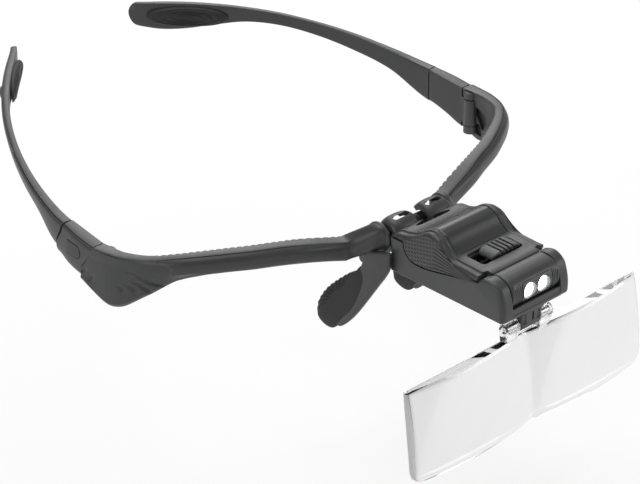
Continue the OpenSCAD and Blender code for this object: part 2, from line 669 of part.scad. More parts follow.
// Knuckle: a pin tube on a web, under a thin hood with a long window
knuckle_x0 = 2.1;
knuckle_x1 = hub_x - 0.5;
hood_t = 0.9;
tube_r = tilt_pin_r + pin_fit + 0.7;
hood_end = 28;
window_l = 5.2;
window_tip = 142.6;
module knuckle(s) {
    mirror([s < 0 ? 1 : 0, 0, 0]) difference() {
        union() {
            // Hood from the roof over the pin
            difference() {
                rod_x(knuckle_x0, knuckle_x1, -tilt_y, tilt_z, hood_r);
                rod_x(knuckle_x0 - 1, knuckle_x1 + 1, -tilt_y, tilt_z, hood_r - hood_t);
                across(far, [[-tilt_y, tilt_z],
                    [-tilt_y + far * cos(hood_end), tilt_z + far * sin(hood_end)],
                    [-tilt_y + far, tilt_z - far], [-tilt_y - far, tilt_z - far], [-tilt_y - far, tilt_z],
                    [-tilt_y, tilt_z]]);
            }
            translate([0, 0, tilt_z]) box([knuckle_x0, case_y0 - 0.4, hood_r - hood_t - 0.5],
                [knuckle_x1, -tilt_y - 1.4, hood_r - 0.3]);
            // Tube on the pin and web to the case
            rod_x(knuckle_x0, knuckle_x1, -tilt_y, tilt_z, tube_r);
            box([knuckle_x0, case_y0 - 0.5, tilt_z - tube_r], [knuckle_x1, -tilt_y, tilt_z + 0.2]);
        }
        rod_x(knuckle_x0 - 1, knuckle_x1 + 1, -tilt_y, tilt_z, tilt_pin_r + pin_fit);
        // Window through the hood, past the tube
        translate([(knuckle_x0 + knuckle_x1) / 2 - 0.4, -tilt_y, tilt_z]) rotate([window_tip - 90, 0, 0])
            translate([-window_l / 2, tube_r, 0]) cube([window_l, hood_r - hood_t - tube_r, hood_r * 3]);
    }
}
module battery_door() {
    color("dimgray") difference() {
        intersection() {
            cover_form();
            box([-door_w / 2, door_y1, -far], [door_w / 2, door_y0, far]);
            across(far, concat([[nose_y, -2], [case_y0, -2]], [[case_y0, far], [nose_y, far]]));
        }
        intersection() {
            box([wall - door_w / 2, door_y1 + wall, -far], [door_w / 2 - wall, door_y0 - wall, far]);
            across(far, concat([[nose_y, -far / 2], [case_y0, -far / 2]],
                [for (i = [len(cover_top) - 1:-1:1]) cover_top[i] - [0, wall]]));
        }
        // The door's skirt ends just below the roof
        box([-door_w, door_y1 - 1, -far], [door_w, door_y0 + 1, deck_under - 1.2]);
    }
}

// Lamp drum between the ears, with its pivots and lamps
module lamp_drum() {
    color("gray") difference() {
        union() {
            rod_x(-drum_w / 2, drum_w / 2, drum_y, drum_z, drum_r);
            // Raised frame round the lamps
            box([-led_pitch / 2 - led_r - 0.8, drum_y - drum_r - 0.4, drum_z - led_r - 0.8],
                [led_pitch / 2 + led_r + 0.8, drum_y, drum_z + led_r + 0.8]);
        }
        // Hollow back, lamp seats and pivot holes
        box([wall - drum_w / 2, drum_y - 1, drum_z - drum_r - 1],
            [drum_w / 2 - wall, drum_y + drum_r, drum_z + 1.4]);
        for (s = [-1, 1]) {
            translate([s * led_pitch / 2, drum_y - drum_r - 1, drum_z]) rotate([-90, 0, 0])
                cylinder(h = drum_r + 2, r = led_r + fit / 3);
            rod_x(s * drum_w / 2 - 1.3, s * drum_w / 2 + 1.3, drum_y, drum_z, drum_pin_r - 0.3);
        }
    }
}
module drum_pins() {
    color("gray") for (s = [-1, 1]) {
        rod_x(s > 0 ? drum_w / 2 + 0.05 : -ear_in - drum_pin_l,
            s > 0 ? ear_in + drum_pin_l : -drum_w / 2 - 0.05, drum_y, drum_z, drum_pin_r);
        rod_x(s > 0 ? drum_w / 2 - 1.1 : -drum_w / 2 - 0.1,
            s > 0 ? drum_w / 2 + 0.1 : -drum_w / 2 + 1.1, drum_y, drum_z, drum_pin_r - 0.32);
    }
}
led_l = 5.4;
module led_at(s) {
    translate([s * led_pitch / 2, drum_y - drum_r - 0.5, drum_z]) rotate([-90, 0, 0]) {
        translate([0, 0, led_r]) cylinder(h = led_l - led_r, r = led_r);
        intersection() {
            translate([0, 0, led_r]) sphere(r = led_r);
            cylinder(h = led_r + 0.1, r = led_r);
        }
    }
}
module led_left() {
    color("white") led_at(1);
}
module led_right() {
    color("white") led_at(-1);
}

// Board, switch and knob
module circuit_board() {
    color("darkgreen") translate([-board_w / 2, slot_y - board_l / 2, board_z])
        cube([board_w, board_l, board_t]);
}
module switch_body() {
    color("black") difference() {
        translate([-5, slot_y - 1.9, board_z + board_t]) cube([10, 3.8, switch_h]);
        box([-knob_travel / 2 - 2, slot_y - 0.9, board_z + board_t + 0.8],
            [knob_travel / 2 + 2, slot_y + 0.9, far]);
    }
}
module switch_knob() {
    color("dimgray") {
        difference() {
            translate([knob_x - knob_w / 2, slot_y - knob_l / 2, deck_z - bed + 0.15])
                cube([knob_w, knob_l, 1.5]);
            // Grooves that leave four ribs
            for (i = [0:4])
                translate([knob_x - 3.4 + i * 1.5, slot_y - 2.2, deck_z - bed + 1.15]) cube([0.7, 4.4, 1]);
        }
        // Stem down to the switch
        box([knob_travel / 2 - 0.9, slot_y - 0.7, board_z + board_t + 1],
            [knob_travel / 2 + 0.9, slot_y + 0.7, deck_z - bed + 0.3]);
    }
}

// Cells and their contacts
module button_cells() {
    color("silver") for (i = [0:cell_count - 1])
        rod_x(-stack / 2 + i * cell_t + 0.01, -stack / 2 + (i + 1) * cell_t - 0.01,
            cell_y, cell_z, cell_d / 2);
}
module contact_plate() {
    color("gold") box([stack / 2, cell_y - 3, floor_z + wall],
        [stack / 2 + plate_t, cell_y + 3, cell_z + 3.4]);
}
module contact_spring() {
    color("gold") {
        box([-bay_x, cell_y - 2, floor_z + wall], [plate_t - bay_x, cell_y + 2, cell_z + 2.6]);
        box([-bay_x, cell_y - 2, cell_z + 2.3], [-stack / 2, cell_y + 2, cell_z + 2.6]);
        box([-stack / 2 - plate_t, cell_y - 2, cell_z - 2.4], [-stack / 2, cell_y + 2, cell_z + 2.6]);
    }
}
module case_screws() {
    color("silver") {
        screw_posts(screw_r, floor_z + 0.1, 2.9);
        difference() {
            screw_posts(screw_head_r, floor_z + 0.05, floor_z + screw_head_h);
            for (p = screw_at, s = [-1, 1]) translate([s * p[0], p[1], floor_z])
                for (a = [0, 90]) rotate(a) cube([2, 0.4, 0.9], center = true);
        }
    }
}

// Hook under the case, its pin, and the twin lens
module lens_hook() {
    color("dimgray") difference() {
        union() {
            box([-hook_w / 2, hook_y - 2.6, floor_z - 0.9], [hook_w / 2, hook_y + 4, floor_z]);
            for (s = [-1, 1]) translate([s * 2.2, case_y1 + 1.5, floor_z - 0.5]) cylinder(h = 1.3, r = 0.5);
            box([-hook_w / 2, hook_y - 1.7, hook_foot + 1.2], [hook_w / 2, hook_y + 1.9, floor_z]);
            rod_x(-hook_w / 2, hook_w / 2, hook_y, lens_pin_z, 1.9);
        }
        rod_x(-hook_w, hook_w, hook_y, lens_pin_z, lens_pin_r + pin_fit);
        // Slit down the front of the hook
        box([0.4, hook_y - 3, lens_pin_z + 1.6], [1, hook_y - 1.1, floor_z - 1.2]);
    }
}
module lens_pin() {
    color("silver") rod_x(-tab_x - tab_w + 0.3, tab_x + tab_w - 0.3, hook_y, lens_pin_z, lens_pin_r);
}
module lens() {
    color("azure", 0.5) difference() {
        translate([0, lens_y, lens_top]) rotate([-lens_lean, 0, 0]) union() {
            for (s = [-1, 1]) intersection() {
                box([s > 0 ? 0 : -lens_w / 2, -far, -lens_h], [s > 0 ? lens_w / 2 : 0, 0, 0]);
                // Rounded lower outer corner
                translate([0, far / 2, 0]) rotate([90, 0, 0]) linear_extrude(far) union() {
                    square([lens_w - 2 * lens_corner, 2 * lens_h], center = true);
                    square([lens_w, 2 * (lens_h - lens_corner)], center = true);
                    for (q = [-1, 1])
                        translate([q * (lens_w / 2 - lens_corner), lens_corner - lens_h])
                        circle(r = lens_corner);
                }
                translate([s * lens_w / 4, lens_r - lens_mid_t, -0.55 * lens_h])
                    sphere(r = lens_r, $fn = 180);
            }
            for (s = [-1, 1]) box([s > 0 ? tab_x : -tab_x - tab_w, -2.6, -1],
                [s > 0 ? tab_x + tab_w : -tab_x, 0, tab_h]);
            for (s = [-1, 1]) hull_tab(s);
        }
        rod_x(-far, far, hook_y, lens_pin_z, lens_pin_r + pin_fit);
    }
}
// Round eye of a lens tab
module hull_tab(s) {
    rotate([lens_lean, 0, 0]) translate([0, -lens_y, -lens_top])
        rod_x(s > 0 ? tab_x : -tab_x - tab_w, s > 0 ? tab_x + tab_w : -tab_x, hook_y, lens_pin_z, 1.9);
}

front_frame();
nose_pad_left();
nose_pad_right();
tilt_pin();
fold_pin_left();
fold_pin_right();
hinge_block_left();
hinge_block_right();
release_button_left();
release_button_right();
temple_arm_left();
temple_arm_right();
ear_pad_left();
ear_pad_right();
lower_shell();
top_cover();
battery_door();
lamp_drum();
drum_pins();
led_left();
led_right();
circuit_board();
switch_body();
switch_knob();
button_cells();
contact_plate();
contact_spring();
case_screws();
lens_hook();
lens_pin();
lens();
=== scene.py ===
# A glasses-style head magnifier: a moulded brow frame with folding temple arms, and in front of it
# a tilting lamp case with a sliding switch, two lamps and a clear twin lens. Worn pose, the studio in
# metres and the pieces in mm.
import math

import bmesh
import bpy
from mathutils import Matrix, Vector


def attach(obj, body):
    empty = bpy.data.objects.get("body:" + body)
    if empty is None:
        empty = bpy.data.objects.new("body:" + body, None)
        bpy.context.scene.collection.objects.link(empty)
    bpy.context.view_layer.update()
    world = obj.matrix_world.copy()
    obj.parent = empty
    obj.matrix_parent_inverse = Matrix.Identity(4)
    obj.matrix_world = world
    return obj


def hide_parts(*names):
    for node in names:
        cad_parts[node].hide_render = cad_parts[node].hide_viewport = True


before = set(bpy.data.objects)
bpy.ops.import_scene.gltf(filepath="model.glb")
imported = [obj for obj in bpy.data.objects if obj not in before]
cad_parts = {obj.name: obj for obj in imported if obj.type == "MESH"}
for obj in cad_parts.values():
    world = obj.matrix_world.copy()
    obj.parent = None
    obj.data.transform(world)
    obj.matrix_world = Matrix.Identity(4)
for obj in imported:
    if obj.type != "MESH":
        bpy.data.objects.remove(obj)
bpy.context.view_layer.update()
scene = bpy.context.scene

# Studio: a plain white table top and a white surround, with a soft box overhead and three more behind
# and on both sides, seen from in front of the wearer's right brow through a long lens.
MM = 0.001
table_z = -0.064
view_turn, view_lift = math.radians(-43.8), math.radians(28.9)
view_far, view_side, view_up = 0.672, 0.0186, 0.0075
lens_mm, film_mm = 140.74, 36

back = Vector((math.sin(view_turn) * math.cos(view_lift),
               -math.cos(view_turn) * math.cos(view_lift), math.sin(view_lift)))
side = Vector((math.cos(view_turn), math.sin(view_turn), 0))
upward = back.cross(side)
camera = bpy.data.objects.new("camera", bpy.data.cameras.new("camera"))
camera.data.lens, camera.data.sensor_width = lens_mm, film_mm
camera.matrix_world = Matrix.Translation(
    back * view_far - side * view_side - upward * view_up
) @ Matrix((side, upward, back)).transposed().to_4x4()
scene.collection.objects.link(camera)
scene.camera = camera
scene.view_settings.view_transform = "Standard"


class Value:
    """A node's output that takes part in sums."""

    def __init__(self, finish, socket):
        self.finish, self.socket = finish, socket

    def sum(self, operation, *terms):
        return self.finish.node("ShaderNodeMath", {"operation": operation}, dict(enumerate(terms)))

    def __add__(self, other):
        return self.sum("ADD", self, other)

    def __radd__(self, other):
        return self.sum("ADD", other, self)

    def __sub__(self, other):
        return self.sum("SUBTRACT", self, other)

    def __rsub__(self, other):
        return self.sum("SUBTRACT", other, self)

    def __mul__(self, other):
        return self.sum("MULTIPLY", self, other)

    def __rmul__(self, other):
        return self.sum("MULTIPLY", other, self)

    def __pow__(self, other):
        return self.sum("POWER", self, other)

    def clamped(self):
        return self.sum("MINIMUM", self.sum("MAXIMUM", self, 0), 1)

    def sine(self):
        return self.sum("SINE", self)

    def twin(self, output):
        """Another output of the same node."""
        return Value(self.finish, self.socket.node.outputs[output])


class Finish:
    """A material built up node by node round one shader."""

    def __init__(self, name, shader="ShaderNodeBsdfPrincipled", **sockets):
        self.material = bpy.data.materials.new(name)
        self.material.use_nodes = True
        self.tree = self.material.node_tree
        self.tree.nodes.clear()
        self.end = self.tree.nodes.new("ShaderNodeOutputMaterial")
        self.shader = self.tree.nodes.new(shader)
        self.tree.links.new(self.shader.outputs[0], self.end.inputs["Surface"])
        self.feed(self.shader, sockets)

    def feed(self, node, sockets):
        for name, value in sockets.items():
            name = name.replace("_", " ") if isinstance(name, str) else name
            if isinstance(value, Value):
                self.tree.links.new(value.socket, node.inputs[name])
            else:
                node.inputs[name].default_value = value

    def node(self, kind, settings=(), sockets=(), out=0):
        made = self.tree.nodes.new(kind)
        for name, value in dict(settings).items():
            setattr(made, name, value)
        self.feed(made, dict(sockets))
        return Value(self, made.outputs[out])

    def noise(self, place, scale, detail, **more):
        return self.node("ShaderNodeTexNoise", (),
                         {"Vector": place, "Scale": scale, "Detail": detail, **more})

    def mix(self, factor, first, second):
        """A colour between two."""
        return self.node("ShaderNodeMix", {"data_type": "RGBA"},
                         {"Factor": factor, 6: first, 7: second}, out=2)

    def bump(self, height, strength, depth_mm, **more):
        """Normals tilted by a height whose full rise is a depth in mm."""
        return self.node("ShaderNodeBump", (), {"Strength": strength, "Distance": depth_mm * MM,
                                                "Height": height, **more})

    def split(self, place, *axes):
        """Single coordinates of a place, in mm."""
        first = self.node("ShaderNodeSeparateXYZ", (), {"Vector": place})
        return [first.twin(axis) * 1000 for axis in axes]

    def set(self, **sockets):
        self.feed(self.shader, sockets)
        return self


def grey(level, tint=0.0):
    """Red, green, blue and alpha of a near-neutral shade, a little cool where tint is above 0."""
    return (level * (1 - tint), level, level * (1 + tint), 1)


def lit_for_view(finish, dull, bright):
    """Mixes in a plain white glow for what the camera, gloss and glass see."""
    path = finish.node("ShaderNodeLightPath", out="Is Camera Ray")
    seen = (path + path.twin("Is Glossy Ray") + path.twin("Is Transmission Ray")).clamped()
    plain = Value(finish, finish.shader.outputs[0])
    return finish.node("ShaderNodeMixShader", sockets={0: seen * dull, 1: plain, 2: bright})


floor_white = Finish("table_white", "ShaderNodeBsdfDiffuse", Color=grey(0.93))
glow = floor_white.node("ShaderNodeEmission", sockets={"Color": grey(1.0), "Strength": 1.0})
floor_glow = 0.72
mixed = lit_for_view(floor_white, floor_glow, glow)
floor_white.tree.links.new(mixed.socket, floor_white.end.inputs["Surface"])
half = 3.0
floor_mesh = bpy.data.meshes.new("table_top")
floor_mesh.from_pydata([(x * half, y * half, table_z) for x, y in ((-1, -1), (1, -1), (1, 1), (-1, 1))],
                       [], [(0, 1, 2, 3)])
table_top = bpy.data.objects.new("table_top", floor_mesh)
table_top.data.materials.append(floor_white.material)
scene.collection.objects.link(table_top)

world = bpy.data.worlds.new("surround")
scene.world = world
world.use_nodes = True
sky = world.node_tree
sky.nodes.clear()
sky_end = sky.nodes.new("ShaderNodeOutputWorld")
dim = sky.nodes.new("ShaderNodeBackground")
white = sky.nodes.new("ShaderNodeBackground")
for layer, strength in ((dim, 0.34), (white, 1.0)):
    layer.inputs["Color"].default_value = grey(1.0)
    layer.inputs["Strength"].default_value = strength
rays = sky.nodes.new("ShaderNodeLightPath")
either = sky.nodes.new("ShaderNodeMath")
either.operation = "MAXIMUM"
which = sky.nodes.new("ShaderNodeMixShader")
sky.links.new(rays.outputs["Is Camera Ray"], either.inputs[0])
sky.links.new(rays.outputs["Is Transmission Ray"], either.inputs[1])
sky.links.new(either.outputs[0], which.inputs[0])
sky.links.new(dim.outputs[0], which.inputs[1])
sky.links.new(white.outputs[0], which.inputs[2])
sky.links.new(which.outputs[0], sky_end.inputs["Surface"])


def soft_box(name, place, size, power):
    """A square lamp that faces the object."""
    lamp = bpy.data.lights.new(name, "AREA")
    lamp.size, lamp.energy = size, power
    box = bpy.data.objects.new(name, lamp)
    box.location = place
    box.rotation_mode = "QUATERNION"
    box.rotation_quaternion = (-Vector(place)).to_track_quat("-Z", "Y")
    scene.collection.objects.link(box)


soft_box("box_above", (0.1, 0.3, 1.2), 0.9, 8)
soft_box("box_back", (0.72, 0.8, 0.66), 0.7, 4.5)
soft_box("box_left", (-1.2, -0.1, 0.5), 0.7, 4)
soft_box("box_right", (0.9, -0.9, 0.4), 0.7, 5)

# Front frame: one moulding of satin charcoal nylon. Two brow bars with a raised top strip and a
# toothed back edge run from the bridge hubs to hollow corner lobes with radiating grooves.
hub_x = 11.3
tilt_y, tilt_z = -8.0, 0.7
brow_x0, brow_x1, frame_d = 15.5, 68.1, 37.2
brow_t, brow_h, brow_rise, bulge = 4.2, 5.9, 4.5, 1.7
bar_base_h, lobe_drop, lobe_base = 6.4, 9.4, 9.9
brow_keys = (
    (0, -0.027, -0.04, 6.4, 0.95, 0.4), (0.105, 0.032, 0.13, 6.2, 0.95, 0.7),
    (0.274, 0.089, 0.58, 6.3, 0.93, 1), (0.407, 0.142, 0.8, 6.4, 0.82, 1),
    (0.534, 0.204, 0.93, 6.4, 0.79, 1), (0.65, 0.282, 1, 6.4, 0.74, 1),
    (0.759, 0.371, 1, 6.6, 0.69, 1), (0.857, 0.473, 0.92, 7.7, 0.62, 0.9),
    (0.941, 0.605, 0.74, 11.5, 0.64, 0.4), (0.987, 0.766, 0.6, 15.8, 0.76, 0.1),
    (0.997, 0.88, 0.54, 16.4, 0.88, 0.1), (1, 1, 0.51, 13.7, 1, 0.1))
seam_lean = 4.6
tooth_count, tooth_from, tooth_run, tooth_deep, tooth_half = 26, 0.07, 0.62, 0.4, 0.0075
# Grooves of the lobe: angle, start, end, depth, half width, from a point behind the corner
lobe_grooves = ((17, 6.5, 18.5, 0.5, 0.4), (27, 9, 16, 0.5, 0.45), (38, 8.5, 13.5, 0.5, 0.5),
                (53, 7.5, 12, 0.5, 0.5))


def blend(a, b, t):
    """A number the share t of the way from a to b."""
    return a + (b - a) * t


def ease(x, lo, hi):
    """0 below lo, 1 above hi, and smooth between."""
    t = min(max((x - lo) / (hi - lo), 0), 1)
    return t * t * (3 - 2 * t)


def between(a, b, c, d, t):
    """A number on the smooth curve from b to c."""
    return b + 0.5 * t * ((c - a) + t * ((2 * a - 5 * b + 4 * c - d) + t * (3 * (b - c) + d - a)))


def along(keys, u):
    """A row of numbers on the smooth curve through key rows, u from 0 to 1."""
    last = len(keys) - 1
    s = min(max(u, 0), 1) * last
    i = min(int(s), last - 1)
    rows = [keys[j] for j in (max(i - 1, 0), i, i + 1, min(i + 2, last))]
    return [between(*four, s - i) for four in zip(*rows)]


def flow(points, steps, closed=False):
    """A smooth line of points through the given ones."""
    count, line = len(points), []
    for i in range(count if closed else count - 1):
        four = [points[j % count] if closed else points[min(max(j, 0), count - 1)]
                for j in range(i - 1, i + 3)]
        for j in range(steps):
            line.append(tuple(between(*values, j / steps) for values in zip(*four)))
    return line if closed else line + [tuple(points[-1])]


def brow_row(u):
    """Place (x, y, z), height, thickness and bulge of the bar at u, from the bridge to the corner."""
    k = along(brow_keys, u)
    tall = k[3] - bar_base_h
    height = tall + brow_h if tall < 1 else brow_h + tall * lobe_drop / lobe_base
    return (blend(brow_x0, brow_x1, k[0]), k[1] * frame_d, k[2] * brow_rise,
            height, k[4] * brow_t, k[5] * bulge)


def brow_out(u):
    """The outward way from the bar at u, seen from above."""
    if u >= 1:
        return Vector((1, 0))
    a, b = brow_row(max(u - 0.01, 0)), brow_row(min(u + 0.01, 1))
    way = Vector((b[0] - a[0], b[1] - a[1])).normalized()
    return Vector((way.y, -way.x))


def tooth(u):
    """How deep the back edge is notched at u."""
    pitch = tooth_run / (tooth_count - 1)
    i = round((u - tooth_from) / pitch)
    if not 0 <= i < tooth_count:
        return 0
    return tooth_deep * max(0, 1 - abs(u - tooth_from - i * pitch) / tooth_half)


def brow_section(u):
    """The bar's cross-section as (outward, down) pairs, from the back top edge round the front."""
    _, _, _, h, w, g = brow_row(u)
    lobe = max(h - 8, 0) / 8
    crease = 0.34 * ease(u, 0.02, 0.06) * (1 - 0.7 * ease(u, 0.8, 0.97))
    notch = tooth(u)
    top = [(notch + 0.12, 0), (0.35 * w, 0.05), (0.7 * w, 0), (w - 0.45, -0.08),
           (w - 0.22, -0.16), (w - 0.1, -0.2 - 0.6 * crease), (w, -0.24 - crease),
           (w + 0.12, -0.24 - 0.75 * crease), (w + 0.22, -0.3)]
    front = flow([(w + 0.22, -0.3), (w + g * 0.72 + 0.1, -0.2 * brow_h), (w + g, -0.5 * brow_h),
                  (w + g * 0.9 + lobe * 0.1, -0.72 * brow_h)], 5)[1:]
    low = (w + 0.4 + lobe * 0.5, -h + 1.3)
    lobe_face = [(blend(front[-1][0], low[0], t / 40), blend(front[-1][1], low[1], t / 40))
                 for t in range(1, 41)]
    under = flow([low, (w - 0.1 + lobe * 0.3, -h + 0.35), (w - 0.9, -h), (0.8 + lobe * 1.2, -h),
                  (0.55 + lobe * 1.0, -h + 0.5), (0.3 + lobe * 0.6 + notch, -0.5 * h),
                  (notch + 0.1, -1.3), (notch + 0.04, -0.8), (notch + 0.02, -0.12)], 4)[1:]
    return top + front + lobe_face + under


def lean(across, down):
    """How far a seam runs back on the outside, in mm, at a depth through the wall and below the top."""
    return seam_lean * ease(across, 1.4, 4.4) * ease(down, 0.4, 8.5)


def brow_ring(u):
    """The cross-section set in its place at u, drawn back along the slanting seam."""
    row, out, ring = brow_row(u), brow_out(u), []
    for a, b in brow_section(u):
        shift = lean(a, -b) * ease(u, 0.9, 1)
        lift = 0.3 * shift * ease(-b, 9, 12)
        ring.append(Vector((row[0] + out.x * a, row[1] + out.y * a + shift, row[2] + b + lift)))
    return ring


def skinned(name, rings):
    """A mesh of quads over rings of points in mm, with flat ends."""
    count, mesh = len(rings[0]), bmesh.new()
    rows = [[mesh.verts.new(Vector(p) * MM) for p in ring] for ring in rings]
    for a, b in zip(rows, rows[1:]):
        for i in range(count):
            j = (i + 1) % count
            mesh.faces.new((a[i], b[i], b[j], a[j]))
    mesh.faces.new(rows[0])
    mesh.faces.new(reversed(rows[-1]))
    bmesh.ops.recalc_face_normals(mesh, faces=mesh.faces)
    return finished(name, mesh)


def finished(name, mesh):
    """Makes a piece of a built mesh."""
    data = bpy.data.meshes.new(name)
    mesh.to_mesh(data)
    mesh.free()
    piece = bpy.data.objects.new(name, data)
    scene.collection.objects.link(piece)
    return piece


def settle(piece, sharp=38):
    """Applies the modifiers, and shades smooth between edges sharper than the angle."""
    graph = bpy.context.evaluated_depsgraph_get()
    graph.update()
    data = bpy.data.meshes.new_from_object(piece.evaluated_get(graph))
    piece.modifiers.clear()
    piece.data = data
    data.name = piece.name
    data.shade_smooth()
    data.set_sharp_from_angle(angle=math.radians(sharp))
    return piece


def combined(piece, tools, way):
    """Cuts or joins other pieces into one, and throws them away."""
    for tool in tools:
        step = piece.modifiers.new("step", "BOOLEAN")
        step.operation, step.object, step.solver = way, tool, "EXACT"
    settle(piece)
    for tool in tools:
        bpy.data.objects.remove(tool)
    return piece


def turned(name, line, turn=None, place=(0, 0, 0), steps=64):
    """A lathe form of (radius, height) pairs about Z, then turned by a matrix and placed, in mm."""
    turn = turn or Matrix.Identity(3)
    rings = []
    for r, h in line:
        r = max(r, 0.002)
        rings.append([turn @ Vector((r * math.cos(a), r * math.sin(a), h)) + Vector(place)
                      for a in (2 * math.pi * i / steps for i in range(steps))])
    return skinned(name, rings)


def rod(name, start, end, r, steps=48):
    """A plain rod between two points, in mm, for pins and bores."""
    start, end = Vector(start), Vector(end)
    turn = (end - start).to_track_quat("Z", "Y").to_matrix()
    return turned(name, [(r, 0), (r, (end - start).length)], turn, start, steps)


def crossbar(name, half, y, z, r, steps=48):
    """A rod along x, as far to the left as to the right, in mm."""
    return rod(name, (-half, y, z), (half, y, z), r, steps)


def block(name, lo, hi):
    """A box between two corners, in mm, as a cutting tool."""
    (x0, y0, z0), (x1, y1, z1) = lo, hi
    return skinned(name, [[(x, y0, z0), (x, y1, z0), (x, y1, z1), (x, y0, z1)] for x in (x0, x1)])


def flipped(piece, name):
    """A mirror copy for the other side."""
    other = bpy.data.objects.new(name, piece.data.copy())
    other.data.name = name
    other.data.transform(Matrix.Scale(-1, 4, (1, 0, 0)))
    other.data.flip_normals()
    scene.collection.objects.link(other)
    return other


def fitted(piece, finish, body, slot, *nodes):
    """Gives a piece its finish, parents it to the empty of its CAD body, and hides the CAD nodes it stands
    for.
    """
    piece.data.materials.clear()
    piece.data.materials.append(finish.material)
    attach(piece, body)
    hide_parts(*nodes)


def both_fitted(piece, finish, body, slot, node):
    """Fits a left piece and its mirror copy, whose names say right in place of left."""
    other = flipped(piece, piece.name.replace("left", "right"))
    fitted(piece, finish, body, slot, node)
    fitted(other, finish, body.replace("left", "right"), slot, node.replace("left", "right"))


def moulded(name, level, rough, grain_mm=0.28, grain_deep=0.012, edge_mm=0.12, wear=0.35, tint=0.02):
    """Moulded plastic: fine grain, slow changes of gloss, rounded and slightly rubbed edges."""
    finish = Finish(name, IOR=1.5)
    place = finish.node("ShaderNodeTexCoord", out="Object")
    fine = finish.noise(place, 1000 / grain_mm, 3.0, Roughness=0.6)
    broad = finish.noise(place, 110.0, 2.0)
    sharp = finish.node("ShaderNodeNewGeometry", out="Pointiness")
    rubbed = ((sharp - 0.515) * 14).clamped() * wear
    shade = finish.mix(broad, grey(level * 0.84, tint), grey(level * 1.16, tint))
    shade = finish.mix(rubbed, shade, grey(level * 2.4, tint))
    round_edge = finish.node("ShaderNodeBevel", {"samples": 4}, {"Radius": edge_mm * MM})
    bumped = finish.bump(fine, 1.0, grain_deep, Normal=round_edge)
    return finish.set(Base_Color=shade, Roughness=rough + (broad - 0.5) * 0.14 + (fine - 0.5) * 0.1,
                      Normal=bumped)


charcoal = moulded("charcoal_nylon", 0.032, 0.4)

brow_steps = 320
flare_u, flare_steps = 0.05, 26
bar_end = brow_ring(flare_u)
end_middle = sum(bar_end, Vector()) / len(bar_end)
rings = []
# The bar flares into a thin disc on the tilt axis, scooped in front and round on top
for i in range(flare_steps):
    t, ring = i / flare_steps, []
    for p in bar_end:
        angle = math.atan2(p.z - end_middle.z, end_middle.y - p.y)
        scoop = ease(math.cos(angle + 0.8), -0.3, 0.75)
        s = blend(ease(t, 0.05, 1.0), 1 - (1 - t) ** 1.9, scoop)
        ring.append(Vector((blend(hub_x + 0.5, p.x, t), blend(tilt_y - 4.1 * math.cos(angle), p.y, s),
                            blend(tilt_z + 4.1 * math.sin(angle), p.z, s))))
    rings.append(ring)
first = round(flare_u * brow_steps)
places = [flare_u] * flare_steps + [i / brow_steps for i in range(first, brow_steps + 1)]
rings += [brow_ring(u) for u in places[flare_steps:]]
# Shallow grooves fan out over the lobe's front face
focus = Vector((69.5, 33.0, 1.0))
for u, ring in zip(places, rings):
    out = brow_out(u)
    h = brow_row(u)[3]
    if h < 7.5:
        continue
    for p in ring:
        flat = Vector(((focus.x - p.x), (focus.y - p.y))).length
        reach, drop = math.hypot(flat, p.z - focus.z), math.degrees(math.atan2(focus.z - p.z, flat))
        face = (Vector((p.x, p.y)) - Vector(brow_row(u)[:2])).dot(out)
        if face < 2.5:
            continue
        for angle, start, end, deep, wide in lobe_grooves:
            across = reach * math.sin(math.radians(drop - angle))
            cut = deep * ease(reach, start, start + 2) * (1 - ease(reach, end - 2, end))
            cut *= math.exp(-(across / wide) ** 2)
            p.x, p.y = p.x - out.x * cut, p.y - out.y * cut
bar = skinned("brow_bar", rings)

sideways = Matrix.Rotation(math.radians(90), 3, "Y")
disc_line = [(0.0, 0.0), (3.7, 0.0), (4.1, 0.06), (4.28, 0.22), (4.32, 0.5), (4.3, 0.8), (4.22, 0.98),
             (4.05, 1.06), (0.0, 1.06)]
disc = turned("disc", disc_line, sideways, (hub_x, tilt_y, tilt_z), 96)
combined(bar, [disc], "UNION")

# Hinge pocket behind the lobe, the open hollows in front of it, and the bores of both pins
fold = (brow_x1 + 0.9, frame_d - 2.6)
corner_top = brow_row(1)[2]
lug_top, lug_bottom, knuckle_r = corner_top - 2.8, corner_top - 11, 2.1
lug_gap, pocket_r = 0.2, knuckle_r + 0.3
pocket = rod("pocket", (*fold, lug_bottom - lug_gap), (*fold, lug_top + lug_gap), pocket_r)
slot = block("slot", (brow_x1 - 5, fold[1] - 1.6, lug_bottom - lug_gap),
             (fold[0] + pocket_r, frame_d + 5, lug_top + lug_gap))


def prism(name, outline, x0, x1):
    """A cutting tool with an outline in (y, z), from x0 to x1, in mm."""
    return skinned(name, [[(x, y, z) for y, z in outline] for x in (x0, x1)])


upper_line = [(34.0, -1.6), (28.6, -3.4), (27.4, -4.9), (29.6, -9.2), (31.4, -6.2), (33.4, -3.4)]
lower_line = [(30.9, -7.8), (30.4, -11.6), (33.6, -10.6), (33.0, -8.6)]
upper_hollow = prism("upper_hollow", flow(upper_line, 4, True), 60, 70.0)
lower_hollow = prism("lower_hollow", flow(lower_line, 4, True), 60, 70.2)
fold_bore = rod("fold_bore", (*fold, lug_bottom - 3), (*fold, corner_top - 1), 0.815)
tilt_bore = rod("tilt_bore", (hub_x - 1, tilt_y, tilt_z), (hub_x + 1.7, tilt_y, tilt_z), 0.915)
combined(bar, [pocket, slot, upper_hollow, lower_hollow, fold_bore, tilt_bore], "DIFFERENCE")
combined(bar, [rod("lower_lug", (*fold, lug_bottom - 2.6), (*fold, lug_bottom - lug_gap), knuckle_r)],
         "UNION")
bar.name = "brow_bar_left"
both_fitted(bar, charcoal, "frame", "frame_plastic", "front_frame")
lug_h, lug_edge = corner_top - lug_top - 0.68, 0.15
